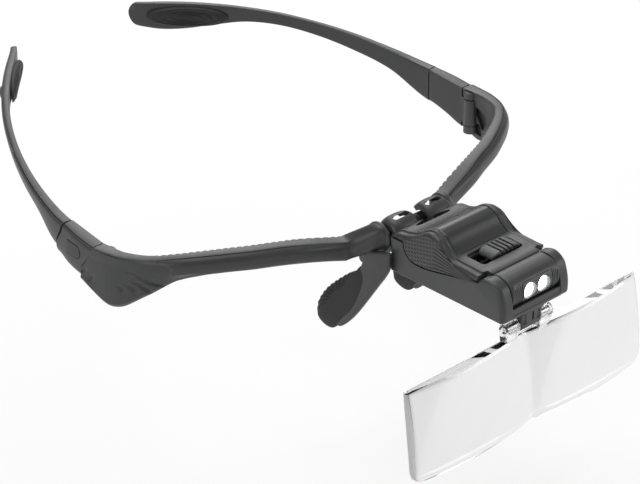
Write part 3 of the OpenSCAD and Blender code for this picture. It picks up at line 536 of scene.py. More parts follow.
lug_line = [(0, 0), (knuckle_r - lug_edge, 0), (knuckle_r, lug_edge), (knuckle_r, lug_h - lug_edge),
            (knuckle_r - lug_edge, lug_h), (0, lug_h)]
lug = settle(turned("upper_lug_left", lug_line, place=(*fold, lug_top + 0.23)))
both_fitted(lug, charcoal, "frame", "frame_plastic", "front_frame")

# Nose supports: a thin fork of the frame moulding under each hub, and on it a pushed-on blade of soft
# black rubber, ribbed towards its scalloped back edge.
strut_x, splay = 14.0, Matrix.Rotation(math.radians(-1.5), 3, "Y")
strut_line = flow([(-14.1, -1.0), (-9.4, -2.2), (-4.6, -3.8), (-4.7, -6.7), (-4.0, -9.5), (-4.2, -14),
                   (-2.2, -20), (0.8, -24.9), (3.4, -27.9), (4.4, -30.0), (2.8, -30.0), (-0.2, -27.2),
                   (-3.2, -23.4), (-6.2, -19.0), (-10.5, -12.4), (-12.8, -8.9), (-14.3, -5.9), (-14.6, -2.9)],
                  6, True)
pad_line = flow([(-3.8, -8.8), (-2.4, -10.6), (1, -13), (5.5, -17), (8.9, -20.6), (11.6, -24.8),
                 (12.5, -27.9), (11.9, -30.8), (9.4, -32.2), (6.6, -32.2), (4.2, -30.4), (1.6, -27.2),
                 (-0.9, -24.4), (-3.2, -20.6), (-5.2, -15.7), (-6.3, -11.7), (-6.0, -9.4), (-5.0, -8.6)],
                12, True)
pad_middle, pad_half, rib_count = Vector((3.0, -21.0)), 1.0, 11


def slab(name, outline, thick, round_mm, place):
    """A flat plate with an outline in (y, z) and rounded edges, placed by a function of (x, y, z)."""
    count, rings, ways = len(outline), [], []
    for i in range(count):
        a, b = Vector(outline[i - 1]), Vector(outline[(i + 1) % count])
        way = (b - a).normalized()
        ways.append(Vector((way.y, -way.x)))
    corners = [(math.sin(t), math.cos(t)) for t in (math.pi / 2 * k / 4 for k in range(5))]
    steps = [(round_mm * (1 - s), thick / 2 - round_mm * (1 - c)) for s, c in corners]
    for inset, x in steps + [(inset, -x) for inset, x in reversed(steps)]:
        rings.append([place(x, p[0] + way.x * inset, p[1] + way.y * inset) for p, way in zip(outline, ways)])
    return skinned(name, rings)


def splayed(x, y, z):
    """A point of the left nose support, from its own upright plane."""
    return splay @ Vector((x, y, z)) + Vector((strut_x, 0, 0))


rubber = Finish("soft_rubber", IOR=1.45, Specular_IOR_Level=0.35)
place = rubber.node("ShaderNodeTexCoord", out="Object")
speck = rubber.noise(place, 5200.0, 4.0)
cloud = rubber.noise(place, 160.0, 3.0)
dust = rubber.node("ShaderNodeTexVoronoi", (), {"Vector": place, "Scale": 1500.0}, out="Distance")
rubber.set(Base_Color=rubber.mix(cloud, grey(0.016), grey(0.028)), Roughness=0.58 + 0.2 * (cloud - 0.5),
           Normal=rubber.bump(speck + 0.3 * dust, 1.0, 0.02))


def nose_blade(name):
    """A pillow-edged blade on a polar grid, with ribs and scallops on its back half."""
    count, layers = len(pad_line), 26
    lengths = [0.0]
    for i in range(count):
        lengths.append(lengths[-1] + math.dist(pad_line[i], pad_line[(i + 1) % count]))
    # The ribs run from the 16th to the 84th point of the outline
    start, stop = lengths[16], lengths[84]
    faces = []
    for hand in (1, -1):
        rows = []
        for k in range(1, layers + 1):
            t, row = 1 - (1 - k / layers) ** 1.6, []
            for i, p in enumerate(pad_line):
                behind = ease(lengths[i], start, start + 4) * (1 - ease(lengths[i], stop - 3, stop))
                wave = math.cos(2 * math.pi * rib_count * (lengths[i] - start) / (stop - start))
                edge = Vector(p) + (pad_middle - Vector(p)).normalized() * 0.26 * behind * (0.5 - 0.5 * wave)
                spot = pad_middle + (edge - pad_middle) * t
                high = pad_half * max(1 - t ** 7, 0) ** 0.5 - 0.12 * ease(t, 0.2, 0.75) * behind
                high += 0.17 * wave * behind * ease(t, 0.42, 0.62) * (1 - ease(t, 0.93, 1.0))
                row.append(splayed(hand * max(high, 0.0), spot.x, spot.y))
            rows.append(row)
        faces.append(rows)
    mesh = bmesh.new()
    top = [[mesh.verts.new(p * MM) for p in row] for row in faces[0]]
    bottom = [[mesh.verts.new(p * MM) for p in row] for row in faces[1][:-1]] + [top[-1]]
    for rows, hand in ((top, 1), (bottom, -1)):
        middle = mesh.verts.new(splayed(hand * pad_half, pad_middle.x, pad_middle.y) * MM)
        for i in range(count):
            j = (i + 1) % count
            mesh.faces.new((middle, rows[0][i], rows[0][j]))
            for a, b in zip(rows, rows[1:]):
                mesh.faces.new((a[i], b[i], b[j], a[j]))
    bmesh.ops.recalc_face_normals(mesh, faces=mesh.faces)
    return finished(name, mesh)


fork = slab("nose_fork_left", strut_line, 1.5, 0.5, splayed)
blade = nose_blade("nose_blade_left")
both_fitted(settle(fork), charcoal, "frame", "frame_plastic", "front_frame")
both_fitted(settle(blade), rubber, "frame", "soft_rubber", "nose_pad_left")

# Bridge saddle: a round bar that joins the two hubs under the lamp case's knuckles. It is part of the
# same nylon moulding as the brow bars.
saddle_rings = []
for x, r, bow in ((-14.2, 1.4, 0.1), (-13.6, 1.65, 0.05), (-9, 1.7, 0), (0, 1.7, 0), (9, 1.7, 0),
                  (13.6, 1.65, 0.05), (14.2, 1.4, 0.1)):
    saddle_rings.append([Vector((x, tilt_y + 3.6 + bow + r * math.cos(a), tilt_z - 7 + r * math.sin(a)))
                         for a in (2 * math.pi * i / 32 for i in range(32))])
fitted(settle(skinned("bridge_saddle", saddle_rings)), charcoal, "frame", "frame_plastic", "front_frame")

# Temple hinge blocks: short satin mouldings between two slanting seams at each corner. A knuckle turns
# on the fold pin in the lobe's pocket, and a sprung D-shaped tongue holds the arm's plug.
seam, block_l, block_t = 0.4, 12.9, 4.4
block_y0 = frame_d + seam
block_y1 = block_y0 + block_l
inner_x = brow_x1 - 0.4
plug_x, plug_t, plug_h, plug_z, plug_l = inner_x + 0.85, 2.0, 4.6, -1.3, 8.0
button_y = (block_y0 + block_y1) / 2 + 1
play = 0.15


def block_section(t):
    """(inward x, z) points of the block's cross-section at t from front to back."""
    top = blend(corner_top, 3.9, t)
    low = flow([(corner_top - 13,), (-8.3,), (-6.5,)], 10)[round(20 * t)][0]
    x0 = blend(brow_x1, inner_x, t)
    x1 = flow([(brow_x1 + block_t,), (72.35,), (71.5,)], 10)[round(20 * t)][0]
    w, h = x1 - x0, top - low
    upper = [(0.05, -0.12), (0.14 * w, 0.0), (0.45 * w, 0.0), (0.7 * w, -0.06), (0.78 * w, -0.16),
             (0.82 * w, -0.48), (0.865 * w, -0.56), (0.91 * w, -0.42)]
    outer = flow([(0.91 * w, -0.42), (0.96 * w, -0.9), (0.99 * w, -2.0), (w, -0.4 * h), (0.97 * w, -0.66 * h),
                  (0.87 * w, -0.86 * h), (0.62 * w, -0.985 * h), (0.3 * w, -h), (0.07 * w, -0.965 * h),
                  (0, -0.86 * h), (0, -0.5 * h), (0, -0.14 * h), (0.05, -0.12)], 4)[1:-1]
    return [(x0 + a, top + b, a, -b) for a, b in upper + outer]


def block_ring(t):
    """The block's cross-section set in its place at t, drawn back along the slanting seams."""
    ring = []
    for x, z, across, down in block_section(t):
        shift = lean(across, down)
        z += 0.3 * shift * (1 - t) * ease(down, 9, 12)
        ring.append(Vector((x, blend(block_y0, block_y1, t) + shift * blend(1, 0.85, t), z)))
    return ring


def tongue(name, grow, x0, x1):
    """The D shape of the release button, in (y, z), grown by a clearance."""
    line = [(2.8 + grow, -1.9 - grow), (2.8 + grow, 1.9 + grow)]
    line += [(-0.9 + (1.9 + grow) * math.cos(a), (1.9 + grow) * math.sin(a))
             for a in (math.radians(90 + 12 * k) for k in range(16))]
    return skinned(name, [[(x, button_y + y, plug_z + z) for y, z in line] for x in (x0, x1)])


block_piece = skinned("hinge_block", [block_ring(i / 20) for i in range(21)])
knuckle = rod("knuckle", (*fold, lug_bottom), (*fold, lug_top), knuckle_r)
web = block("web", (fold[0] - 0.9, fold[1], lug_bottom), (fold[0] + knuckle_r - 0.6, block_y0 + 1.5, lug_top))
combined(block_piece, [knuckle, web], "UNION")
bore = rod("bore", (*fold, lug_bottom - 1), (*fold, lug_top + 1), 0.85)
socket = block("socket", (plug_x - play, block_y1 - plug_l - play, plug_z - plug_h / 2 - play),
               (plug_x + plug_t + play, block_y1 + 5, plug_z + plug_h / 2 + play))
window = tongue("window", 0.17, plug_x + plug_t - 0.75, plug_x + plug_t + 6)
combined(block_piece, [bore, socket, window], "DIFFERENCE")

# The button follows the block's outer face and stands a little proud of it
button = skinned("button", [[p + Vector((0.09, 0, 0)) for p in block_ring(i / 20)] for i in range(21)])
combined(button, [tongue("edge", 0.0, plug_x + plug_t + play, plug_x + plug_t + 6)], "INTERSECT")
button_black = moulded("button_black", 0.026, 0.46, 0.2, 0.016, 0.1)
block_piece.name = "hinge_block_body_left"
both_fitted(block_piece, charcoal, "hinge_left", "frame_plastic", "hinge_block_left")
button.name = "release_button_body_left"
both_fitted(button, button_black, "button_left", "button_plastic", "release_button_left")

# Temple arms: tall thin springy mouldings that curve in behind the head. A plug slides into the hinge
# block, a crease runs back from the seam on the outside, and the tip widens to a paddle for the pad.
arm_y0, arm_l, arm_t, tip_gap, paddle_h, paddle_top = block_y1 + seam, 82.98, 2.2, 43.0, 8.6, 13.6
arm_line = ((inner_x, arm_y0), (inner_x - 4.6, arm_y0 + 0.597 * arm_l),
            (tip_gap / 2 + 6, arm_y0 + 0.856 * arm_l), (tip_gap / 2, arm_y0 + arm_l))
arm_keys = (
    (3.9, -6.5, block_t - 0.6), (6, -0.2, arm_t + 0.8), (8.3, 3.4, arm_t + 0.3), (10.2, 6.2, arm_t),
    (11.7, 8, arm_t), (12.7, 8.3, arm_t + 0.1), (13.3, paddle_top - 0.78 * paddle_h, arm_t + 0.3),
    (paddle_top, paddle_top - 0.95 * paddle_h, arm_t + 0.4), (paddle_top, paddle_top - paddle_h, arm_t + 0.3),
    (13.4, paddle_top - 0.93 * paddle_h, arm_t), (13.2, paddle_top - 0.84 * paddle_h, arm_t - 0.3))
tip_start = 0.94


def arm_at(u):
    """The inner line of the left arm at u, 0 at the hinge block and 1 at the tip, seen from above."""
    weights = ((1 - u) ** 3, 3 * (1 - u) ** 2 * u, 3 * (1 - u) * u * u, u ** 3)
    return sum((Vector(p) * w for p, w in zip(arm_line, weights)), Vector((0, 0)))


def arm_way(u):
    """The arm's direction at u."""
    a, b, c, d = (Vector(p) for p in arm_line)
    return (3 * (1 - u) ** 2 * (b - a) + 6 * (1 - u) * u * (c - b) + 3 * u * u * (d - c)).normalized()


def arm_ring(u):
    """The arm's cross-section at u, creased on the outside near the seam and rounded off at the tip."""
    top, low, t = along(arm_keys, u)
    p, way = arm_at(u), arm_way(u)
    out = Vector((way.y, -way.x))
    end = 1 if u < tip_start else math.sqrt(max(1 - 0.97 * ((u - tip_start) / (1 - tip_start)) ** 2, 0.03))
    middle = blend(low, top, 0.55)
    top, low = middle + (top - middle) * end, middle + (low - middle) * end
    h = top - low
    deep = 0.36 * (1 - ease(u, 0.12, 0.4))
    face = [(0.1 * t, 0.0), (0.4 * t, 0.0), (0.62 * t, -0.02), (0.74 * t, -0.1), (0.79 * t, -0.12 - deep),
            (0.84 * t, -0.16 - deep), (0.89 * t, -0.3)]
    rest = flow([(0.89 * t, -0.3), (0.96 * t, -0.09 * h), (t, -0.2 * h), (0.99 * t, -0.42 * h),
                 (0.88 * t, -0.68 * h), (0.66 * t, -0.88 * h), (0.42 * t, -0.98 * h), (0.17 * t, -h),
                 (0.04 * t, -0.95 * h), (0, -0.85 * h), (-0.02, -0.45 * h), (0, -0.1 * h),
                 (0.03 * t, -0.03 * h), (0.1 * t, 0.0)], 4)[1:-1]
    ring = []
    for a, b in face + rest:
        shift = 0.85 * lean(a, -b) * (1 - ease(u, 0.0, 0.14))
        ring.append(Vector((p.x + out.x * a, p.y + out.y * a + shift, top + b)))
    return ring


arm_steps = 150
arm = skinned("arm", [arm_ring(1 - (1 - i / arm_steps) ** 1.15) for i in range(arm_steps + 1)])
plug = block("plug", (plug_x, block_y1 - plug_l, plug_z - plug_h / 2),
             (plug_x + plug_t, arm_y0 + 2, plug_z + plug_h / 2))
combined(arm, [plug], "UNION")
pad_u, pad_l, pad_h, pad_t, pad_round = 0.7, 25.0, 6.4, 1.5, 105.0
pad_spot, pad_way = arm_at(pad_u), arm_way(pad_u)
pad_top, pad_low, pad_arm_t = along(arm_keys, pad_u)
pad_turn = Matrix.Rotation(math.atan2(pad_way.y, pad_way.x) - math.pi / 2, 3, "Z")
stud_shift = -0.3 * pad_l


def on_pad(x, y, z):
    """A point given from the pad's middle: x out through the arm, y along it, z up."""
    return pad_turn @ Vector((x, y, z)) + Vector((pad_spot.x, pad_spot.y, (pad_top + pad_low) / 2))


room = block("room", (plug_x + plug_t - 0.75, block_y1 - plug_l - 1, plug_z - 2.4),
             (plug_x + plug_t + 1, button_y + 3.4, plug_z + 2.4))
stud_hole = rod("stud_hole", on_pad(-1, stud_shift, 0), on_pad(7, stud_shift, 0), 1.35)
combined(arm, [room, stud_hole], "DIFFERENCE")
arm.name = "temple_arm_body_left"
both_fitted(arm, charcoal, "arm_left", "frame_plastic", "temple_arm_left")


# Ear pads: oval rubber cushions with ripples round a swirl, moulded with a stud that is pulled through
# the arm's widened end and finishes in a small button outside.
def ear_cushion(name):
    """A pillow-edged oval on a polar grid, bent to the arm, with a swirl of ripples."""
    rows, count, layers = [], 144, 34
    for k in range(1, layers + 1):
        t = 1 - (1 - k / layers) ** 1.25
        row = []
        for i in range(count):
            a = 2 * math.pi * i / count
            y = pad_l / 2 * math.copysign(abs(math.cos(a)) ** 0.94, math.cos(a)) * t
            z = pad_h / 2 * math.copysign(abs(math.sin(a)) ** 0.9, math.sin(a)) * t
            high = pad_t * max(1 - t ** 9, 0) ** 0.5 - 0.28 * ease(t, 0, 0.75)
            swirl = math.cos(2 * math.pi * (4.6 * t - a / (2 * math.pi)))
            high += 0.14 * swirl * ease(t, 0.08, 0.2) * (1 - ease(t, 0.86, 0.96))
            row.append(on_pad(-max(high, 0) - y * y / (2 * pad_round), y, z))
        rows.append(row)
    mesh = bmesh.new()
    grid = [[mesh.verts.new(p * MM) for p in row] for row in rows]
    middle = mesh.verts.new(on_pad(-pad_t, 0, 0) * MM)
    under = mesh.verts.new(on_pad(0.0, 0, 0) * MM)
    for i in range(count):
        j = (i + 1) % count
        mesh.faces.new((middle, grid[0][i], grid[0][j]))
        mesh.faces.new((under, grid[-1][j], grid[-1][i]))
        for a, b in zip(grid, grid[1:]):
            mesh.faces.new((a[i], b[i], b[j], a[j]))
    bmesh.ops.recalc_face_normals(mesh, faces=mesh.faces)
    return finished(name, mesh)


cushion = ear_cushion("ear_cushion_left")
stud_turn = pad_turn @ Matrix.Rotation(math.radians(90), 3, "Y")
through = 0.95 * pad_arm_t
stud_line = [(0, 0), (1.3, 0), (1.3, through + 1.1), (1.55, through + 1.15), (1.7, through + 1.3),
             (1.66, through + 1.5), (1.3, through + 1.62), (0.6, through + 1.56), (0, through + 1.52)]
stud = turned("stud", stud_line, stud_turn, on_pad(-1, stud_shift, 0), 40)
combined(cushion, [stud], "UNION")
both_fitted(cushion, rubber, "arm_left", "soft_rubber", "ear_pad_left")

# Lamp case tray: a deep satin moulding with upright sides, an open top, and two rounded ears in front
# that hold the lamp drum. Inside are screw posts, posts for the board and a cradle for the cells.
case_w, case_l, wall, door_w = 25.6, 40.2, 1.2, 18.8
half_w = case_w / 2
case_y0 = tilt_y - 5.2
case_y1 = case_y0 - case_l
floor_z, rear_top, deck_z, hump_h = -6.9, 3.9, 4.3, 5.0
nose_y = case_y1 + 9.4
hump_y, hump_rear, hump_front, hump_z = case_y0 - 13.8, case_y0 - 6.6, case_y0 - 21.4, deck_z + hump_h
drum_r, drum_w = 5.6, 17.6
drum_y, drum_z, ear_in = case_y1 + drum_r + 0.2, floor_z + 6.4, drum_w / 2 + 0.35
ear_round, foot_round = 1.4, 0.6
screw_spots = [(s * (half_w - wall - 2), y) for s in (-1, 1) for y in (case_y0 - 3.4, nose_y + 4.4)]
hole_r, sink_r, pilot_r = 0.8, 1.5, 0.72
shell_line = [(case_y0, 3), (case_y0 - 0.4, 3)] + flow(
    [(case_y0 - 4.2, 3), (case_y0 - 5.2, 0.3), (case_y0 - 7.4, -1.4), (case_y0 - 11, -1.7),
     (case_y0 - 15, -1.2), (case_y0 - 21, 0), (nose_y, 2)], 8)
ear_line = flow([(nose_y - 0.05, 2.1), (nose_y - 1.2, 3.2), (nose_y - 3.6, 3.9), (nose_y - 6, 3.4),
                 (nose_y - 7.8, 2), (case_y1 + 0.5, -0.8), (case_y1, -3.6), (case_y1, floor_z + 0.8)], 6)


def draft(z):
    """How far the flanks lean in at a height."""
    return 0.045 * max(z + 1.2, 0)


def tray_ring(x):
    """Outline of the tray in (y, z) at a distance from the middle, its ends rounded off."""
    over = max(abs(x) - (half_w - ear_round), 0)
    nose = ear_round - math.sqrt(max(ear_round ** 2 - over ** 2, 0))
    over = max(abs(x) - (half_w - foot_round), 0)
    foot = foot_round - math.sqrt(max(foot_round ** 2 - over ** 2, 0))
    ring = [(case_y0 - foot, floor_z + foot), (case_y0 - foot, 0)] + shell_line + ear_line
    ring += [(case_y1 + 0.2, floor_z + 0.3), (case_y1 + 0.8, floor_z)]
    ring += [(blend(case_y1 + 0.8, case_y0, t / 10), floor_z) for t in range(1, 10)]
    done = []
    for y, z in ring:
        set_back = nose * ease(-y, -case_y1 - 7, -case_y1 - 1)
        drop = 0.5 * nose * ease(z, 1, 3) * (y < nose_y)
        done.append(Vector((x, y + set_back, max(z, floor_z + foot) if z < 0 else z - drop)))
    return done


cuts = [half_w * math.sin(math.pi / 2 * t / 30) for t in range(31)]
cuts = [-x for x in reversed(cuts)] + cuts[1:]
tray = skinned("tray", [tray_ring(x) for x in cuts])
inside = block("inside", (wall - half_w, nose_y - 2, floor_z + wall), (half_w - wall, case_y0 - wall, 20))
front_gap = block("front_gap", (-ear_in, case_y1 - 1, floor_z + wall), (ear_in, nose_y, 20))
drum_room = crossbar("drum_room", ear_in, drum_y, drum_z, drum_r + 0.25, 96)
rear_gap = block("rear_gap", (0.3 - hub_x, case_y0 - wall - 1, -2), (hub_x - 0.3, case_y0 + 1, 20))
combined(tray, [inside, front_gap, drum_room, rear_gap], "DIFFERENCE")
posts = [rod(f"post_{i}", (*p, floor_z + 0.3), (*p, -0.2), 2.1, 32) for i, p in enumerate(screw_spots)]
slot_y, board_w = hump_front - 3.7, 14.4
for s in (-1, 1):
    x = s * (board_w / 2 - 1.4)
    posts.append(block("prop", (x - 1, slot_y - 1, floor_z + 0.3), (x + 1, slot_y + 1, -1.4)))
cell_d, cell_t, bay_x, plate_t = 11.6, 3.05, 7.4, 0.3
cell_y, cell_z, stack = hump_y, floor_z + wall + cell_d / 2 + 0.3, 3 * cell_t
posts.append(block("stop_a", (stack / 2 + 0.05 + plate_t, cell_y - 4, floor_z + 0.3),
                   (stack / 2 + 0.05 + plate_t + wall, cell_y + 4, -1)))
posts.append(block("stop_b", (-bay_x - wall, cell_y - 4, floor_z + 0.3), (-bay_x, cell_y + 4, -1)))
for y in (cell_y - cell_d / 2 - 1.4, cell_y + cell_d / 2 + 0.4):
    posts.append(block("cradle", (-4, y, floor_z + 0.3), (4, y + 1, -2)))
chin_top = drum_z - 3.3
chin = block("chin", (-ear_in - 0.2, case_y1 + 0.12, floor_z + 0.3), (ear_in + 0.2, case_y1 + 3.4, chin_top))
posts.append(combined(chin, [crossbar("chin_room", 20, drum_y, drum_z, drum_r + 0.3, 90)], "DIFFERENCE"))
for lo, hi in ((-half_w + 1, -ear_in + 0.1), (ear_in - 0.1, half_w - 1)):
    posts.append(block("bulkhead", (lo, nose_y - 2.6, floor_z + 0.5), (hi, nose_y - 1.3, 3.3)))
    posts.append(block("bulkhead_back", (lo, nose_y - 1.5, floor_z + 0.5), (hi, nose_y + 0.8, 2.3)))
combined(tray, posts, "UNION")
holes = [rod(f"hole_{i}", (*p, floor_z - 1), (*p, 3), hole_r, 24) for i, p in enumerate(screw_spots)]
holes += [rod(f"sink_{i}", (*p, floor_z - 1), (*p, floor_z + 1.1), sink_r, 32)
          for i, p in enumerate(screw_spots)]
holes += [rod("pin_hole", (s * (ear_in - 0.5), drum_y, drum_z), (s * (ear_in + 1.8), drum_y, drum_z), 1.1, 32)
          for s in (-1, 1)]
combined(tray, holes, "DIFFERENCE")
casing = moulded("case_charcoal", 0.036, 0.42, 0.24, 0.014, 0.14)
tray.name = "case_tray"
fitted(tray, casing, "lamp_case", "case_plastic", "lower_shell")

# Cover: the case's upper half, with a hump between two raised ridges, a slotted deck in front, bold
# shadow gaps above the tray, and at the back two hooded knuckles that turn on the tilt pin.
ridge_x, shoulder, lid_gap = door_w / 2 + 0.95, 0.35, 0.5
roof_line = [(nose_y + 1.3, deck_z - 0.25), (nose_y + 4, deck_z - 0.06)] + flow(
    [(nose_y + 7, deck_z), (hump_front, deck_z + 0.25), (hump_front + 2.4, deck_z + 0.35 * hump_h),
     (hump_y - 3, deck_z + 0.78 * hump_h), (hump_y - 1.4, hump_z - 0.35), (hump_y + 0.2, hump_z),
     (hump_y + 1.8, hump_z - 0.35), (hump_y + 3.4, deck_z + 0.76 * hump_h),
     (hump_y + 5.5, deck_z + 0.48 * hump_h), (hump_y + 8.8, deck_z + 1.3), (case_y0 - 2, deck_z + 0.8),
     (case_y0, rear_top)], 10)


def read_off(line, y):
    """Height of a line of (y, z) points at y."""
    line = sorted(line)
    for (y0, z0), (y1, z1) in zip(line, line[1:]):
        if y0 <= y <= y1 and y1 > y0:
            return blend(z0, z1, (y - y0) / (y1 - y0))
    return line[0][1] if y < line[0][0] else line[-1][1]


def lid_ring(y, thick=0.0):
    """Cross-section of the lid in (x, z) at y, or of the hollow below it."""
    seam_z, top = read_off(shell_line, y) + lid_gap, read_off(roof_line, y)
    if thick:
        seam_z, top = -12, top - thick
    wide = half_w - (wall * 2 if thick else 0)
    low = min(seam_z, top - 0.9)
    curve = min(1.0, 0.45 * (top - low))
    edge = top - shoulder
    flank = [blend(low, edge - curve, t / 6) for t in range(7)]
    half_ring = [(wide - draft(z), z) for z in flank]
    rim = wide - draft(edge)
    half_ring += [(rim - curve + curve * math.cos(a), edge - curve + curve * math.sin(a))
                  for a in (math.pi / 2 * k / 6 for k in range(1, 7))]
    if thick:
        half_ring += [(x, edge) for x in (8, 6, 3, 0.5)]
    else:
        half_ring += [(ridge_x + 0.75, edge), (ridge_x + 0.45, edge + 0.06), (ridge_x + 0.2, top + 0.1),
                      (ridge_x, top + 0.16), (ridge_x - 0.2, top + 0.1), (ridge_x - 0.45, top),
                      (ridge_x - 0.9, top - 0.02), (6, top), (3, top), (0.5, top)]
    return [Vector((x, y, z)) for x, z in half_ring] + [Vector((-x, y, z)) for x, z in reversed(half_ring)]


lid_rows = [blend(nose_y + 0.1, case_y0, t / 120) for t in range(121)]
lid = skinned("lid", [lid_ring(y) for y in lid_rows])
hollow = skinned("hollow", [lid_ring(y, wall) for y in lid_rows[4:-4]])
lid_posts = [rod(f"lid_post_{i}", (*p, 0), (*p, 3.2), 1.8, 32) for i, p in enumerate(screw_spots)]
skirt = block("skirt", (0.45 - hub_x, case_y0 - wall, -1.85), (hub_x - 0.45, case_y0 - 0.05, rear_top - 0.3))
combined(lid, [hollow], "DIFFERENCE")
apron_rings = []
for x, y, tuck in ((ear_in - 0.3, nose_y - 1.9, 0.25), (ear_in - 0.2, nose_y - 1.6, 0.02),
                   (ear_in - 0.2, nose_y + 0.3, 0.0), (ear_in - 0.2, nose_y + 1.2, 0.01)):
    top = read_off(roof_line, y)
    apron_rings.append([(x, y, top - 1.6), (x, y, top - tuck), (-x, y, top - tuck), (-x, y, top - 1.6)])
apron = skinned("apron", apron_rings)
well_half, well_rings = 6.9, []
for back_off in (4.6, 3.2, 1.8, 0.3):
    y = case_y0 - back_off
    top = read_off(roof_line, y) - 0.5
    well_rings.append([(-well_half, y, -1.85), (well_half, y, -1.85), (well_half, y, top),
                       (-well_half, y, top)])
well = skinned("well", well_rings)
combined(lid, lid_posts + [skirt, apron, well], "UNION")

# Knuckles of the cover: on each side a tube that turns on the tilt pin, and a domed hood over it with a
# long window. They are one moulding with the cover.
knuckle_x0, knuckle_x1, hood_r, hood_t, tube_r = 2.1, hub_x - 0.5, 4.6, 0.95, 1.75
hood_y, hood_z = tilt_y - 1.9, tilt_z + 0.8


def hood_ring(x, rim):
    """Band over the pin in (y, z) at x, sunk and drawn back towards its ends to make a dome."""
    arc = [math.radians(blend(180, 22 + 40 * rim, t / 24)) for t in range(25)]
    out = hood_r - 1.7 * rim
    outer = [(hood_y + out * math.cos(a), hood_z + out * math.sin(a)) for a in arc]
    inner = [(hood_y + (out - hood_t) * math.cos(a), hood_z + (out - hood_t) * math.sin(a)) for a in arc]
    return [Vector((x, y, z)) for y, z in [(case_y0 - 1.2, tilt_z - 0.6)] + outer + list(reversed(inner))]


hoods = []
for s in (-1, 1):
    stations = []
    for t in range(41):
        turn = math.pi * t / 40
        x = blend(knuckle_x0, knuckle_x1, 0.5 - 0.5 * math.cos(turn))
        rim = 1 - (1 - abs(math.cos(turn)) ** 2.6) ** 0.5
        stations.append(hood_ring(s * x, rim * (0.6 if turn < math.pi / 2 else 1)))
    hoods.append(skinned("hood", stations))
    hoods.append(rod("tube", (s * knuckle_x0, tilt_y, tilt_z), (s * knuckle_x1, tilt_y, tilt_z), tube_r, 48))
    hoods.append(block("web", (min(s * knuckle_x0, s * knuckle_x1), case_y0 - 0.6, tilt_z - tube_r),
                       (max(s * knuckle_x0, s * knuckle_x1), tilt_y, tilt_z + 0.2)))
combined(lid, hoods, "UNION")
window_turn = Matrix.Rotation(math.radians(142.6 - 90), 3, "X")
cutters = []
for s in (-1, 1):
    middle = s * (knuckle_x0 + knuckle_x1) / 2 - s * 0.4
    outline = []
    for k in range(24):
        a = 2 * math.pi * k / 24
        outline.append((middle + math.copysign(2.3, math.cos(a)) + 0.6 * math.cos(a),
                        tube_r + 0.95 + 0.55 * math.sin(a)))
    cutters.append(skinned("window_cut", [[window_turn @ Vector((x, y, h)) + Vector((0, tilt_y, tilt_z))
                                           for x, y in outline] for h in (0.0, 14.0)]))
    cutters.append(rod("pin_cut", (s * (knuckle_x0 - 1), tilt_y, tilt_z),
                       (s * (knuckle_x1 + 1), tilt_y, tilt_z), 1.05, 48))
door_gap = 0.12
cutters.append(block("door_cut", (-door_w / 2 - door_gap, hump_front + 0.28, 0),
                     (door_w / 2 + door_gap, hump_rear + door_gap, 20)))
cutters.append(block("notch", (0.1 - knuckle_x0, case_y0 - 3.1, -1.0), (knuckle_x0 - 0.1, case_y0 + 1, 20)))
trough = flow([(-6.4, case_y0 - 2.9), (-4.4, case_y0 - 2.2), (-2.2, case_y0 - 1.4), (2.2, case_y0 - 1.4),
               (4.4, case_y0 - 2.2), (6.4, case_y0 - 2.9), (5.6, case_y0 - 3.5), (3, case_y0 - 3.7),
               (-3, case_y0 - 3.7), (-5.6, case_y0 - 3.5)], 6, True)
cutters.append(skinned("trough", [[(x, y, z) for x, y in trough] for z in (2.2, 20)]))
knob_w, knob_travel, slot_l, bed = 11.0, 3.6, 6.5, 0.75
slot_w = knob_w + knob_travel + 0.6
cutters.append(block("slot_cut", (-slot_w / 2 + 0.3, slot_y - 2.95, 0), (slot_w / 2 - 0.3, slot_y + 2.7, 20)))
bed_corner = 1.1
bed_outline = []
for cx, cy, start in ((1, 1, 0), (-1, 1, 90), (-1, -1, 180), (1, -1, 270)):
    for k in range(7):
        a = math.radians(start + 15 * k)
        bed_outline.append((cx * (slot_w / 2 - bed_corner) + bed_corner * math.cos(a),
                            slot_y + cy * (slot_l / 2 - bed_corner) + bed_corner * math.sin(a)))
cutters.append(skinned("bed_cut", [[(x, y, z) for x, y in bed_outline] for z in (deck_z - bed, 12)]))
cutters.append(crossbar("drum_cut", 20, drum_y, drum_z, 4.58, 96))
for i, p in enumerate(screw_spots):
    cutters.append(rod(f"pilot_{i}", (*p, -1), (*p, 2.6), pilot_r, 24))
combined(lid, cutters, "DIFFERENCE")
lid.name = "case_cover"
fitted(lid, casing, "lamp_case", "case_plastic", "top_cover")

# Side panels of the cover: a leaf-shaped pattern moulded into each flank, short slanting dashes at the
# back and fine ribs that run together towards the front tip.
leaf = flow([(case_y0 - 5.3, 3.7), (case_y0 - 7.6, 5.4), (case_y0 - 10.4, 7.0), (case_y0 - 13.4, 8.0),
             (case_y0 - 16, 7.6), (case_y0 - 18.6, 5.6), (case_y0 - 22, 3.6), (case_y0 - 26.5, 2.5),
             (case_y0 - 29.6, 1.95), (case_y0 - 29.8, 1.75), (case_y0 - 26, 1.25), (case_y0 - 21, 0.6),
             (case_y0 - 15, -0.55), (case_y0 - 11, -1.0), (case_y0 - 7.8, -0.7), (case_y0 - 5.9, 0.7),
             (case_y0 - 5.0, 2.5)], 6, True)


def on_flank(x, y, z):
    """A point of the left side panel, sunk a little into the leaning flank."""
    return Vector((half_w - draft(z) - 0.08 + x, y, z))


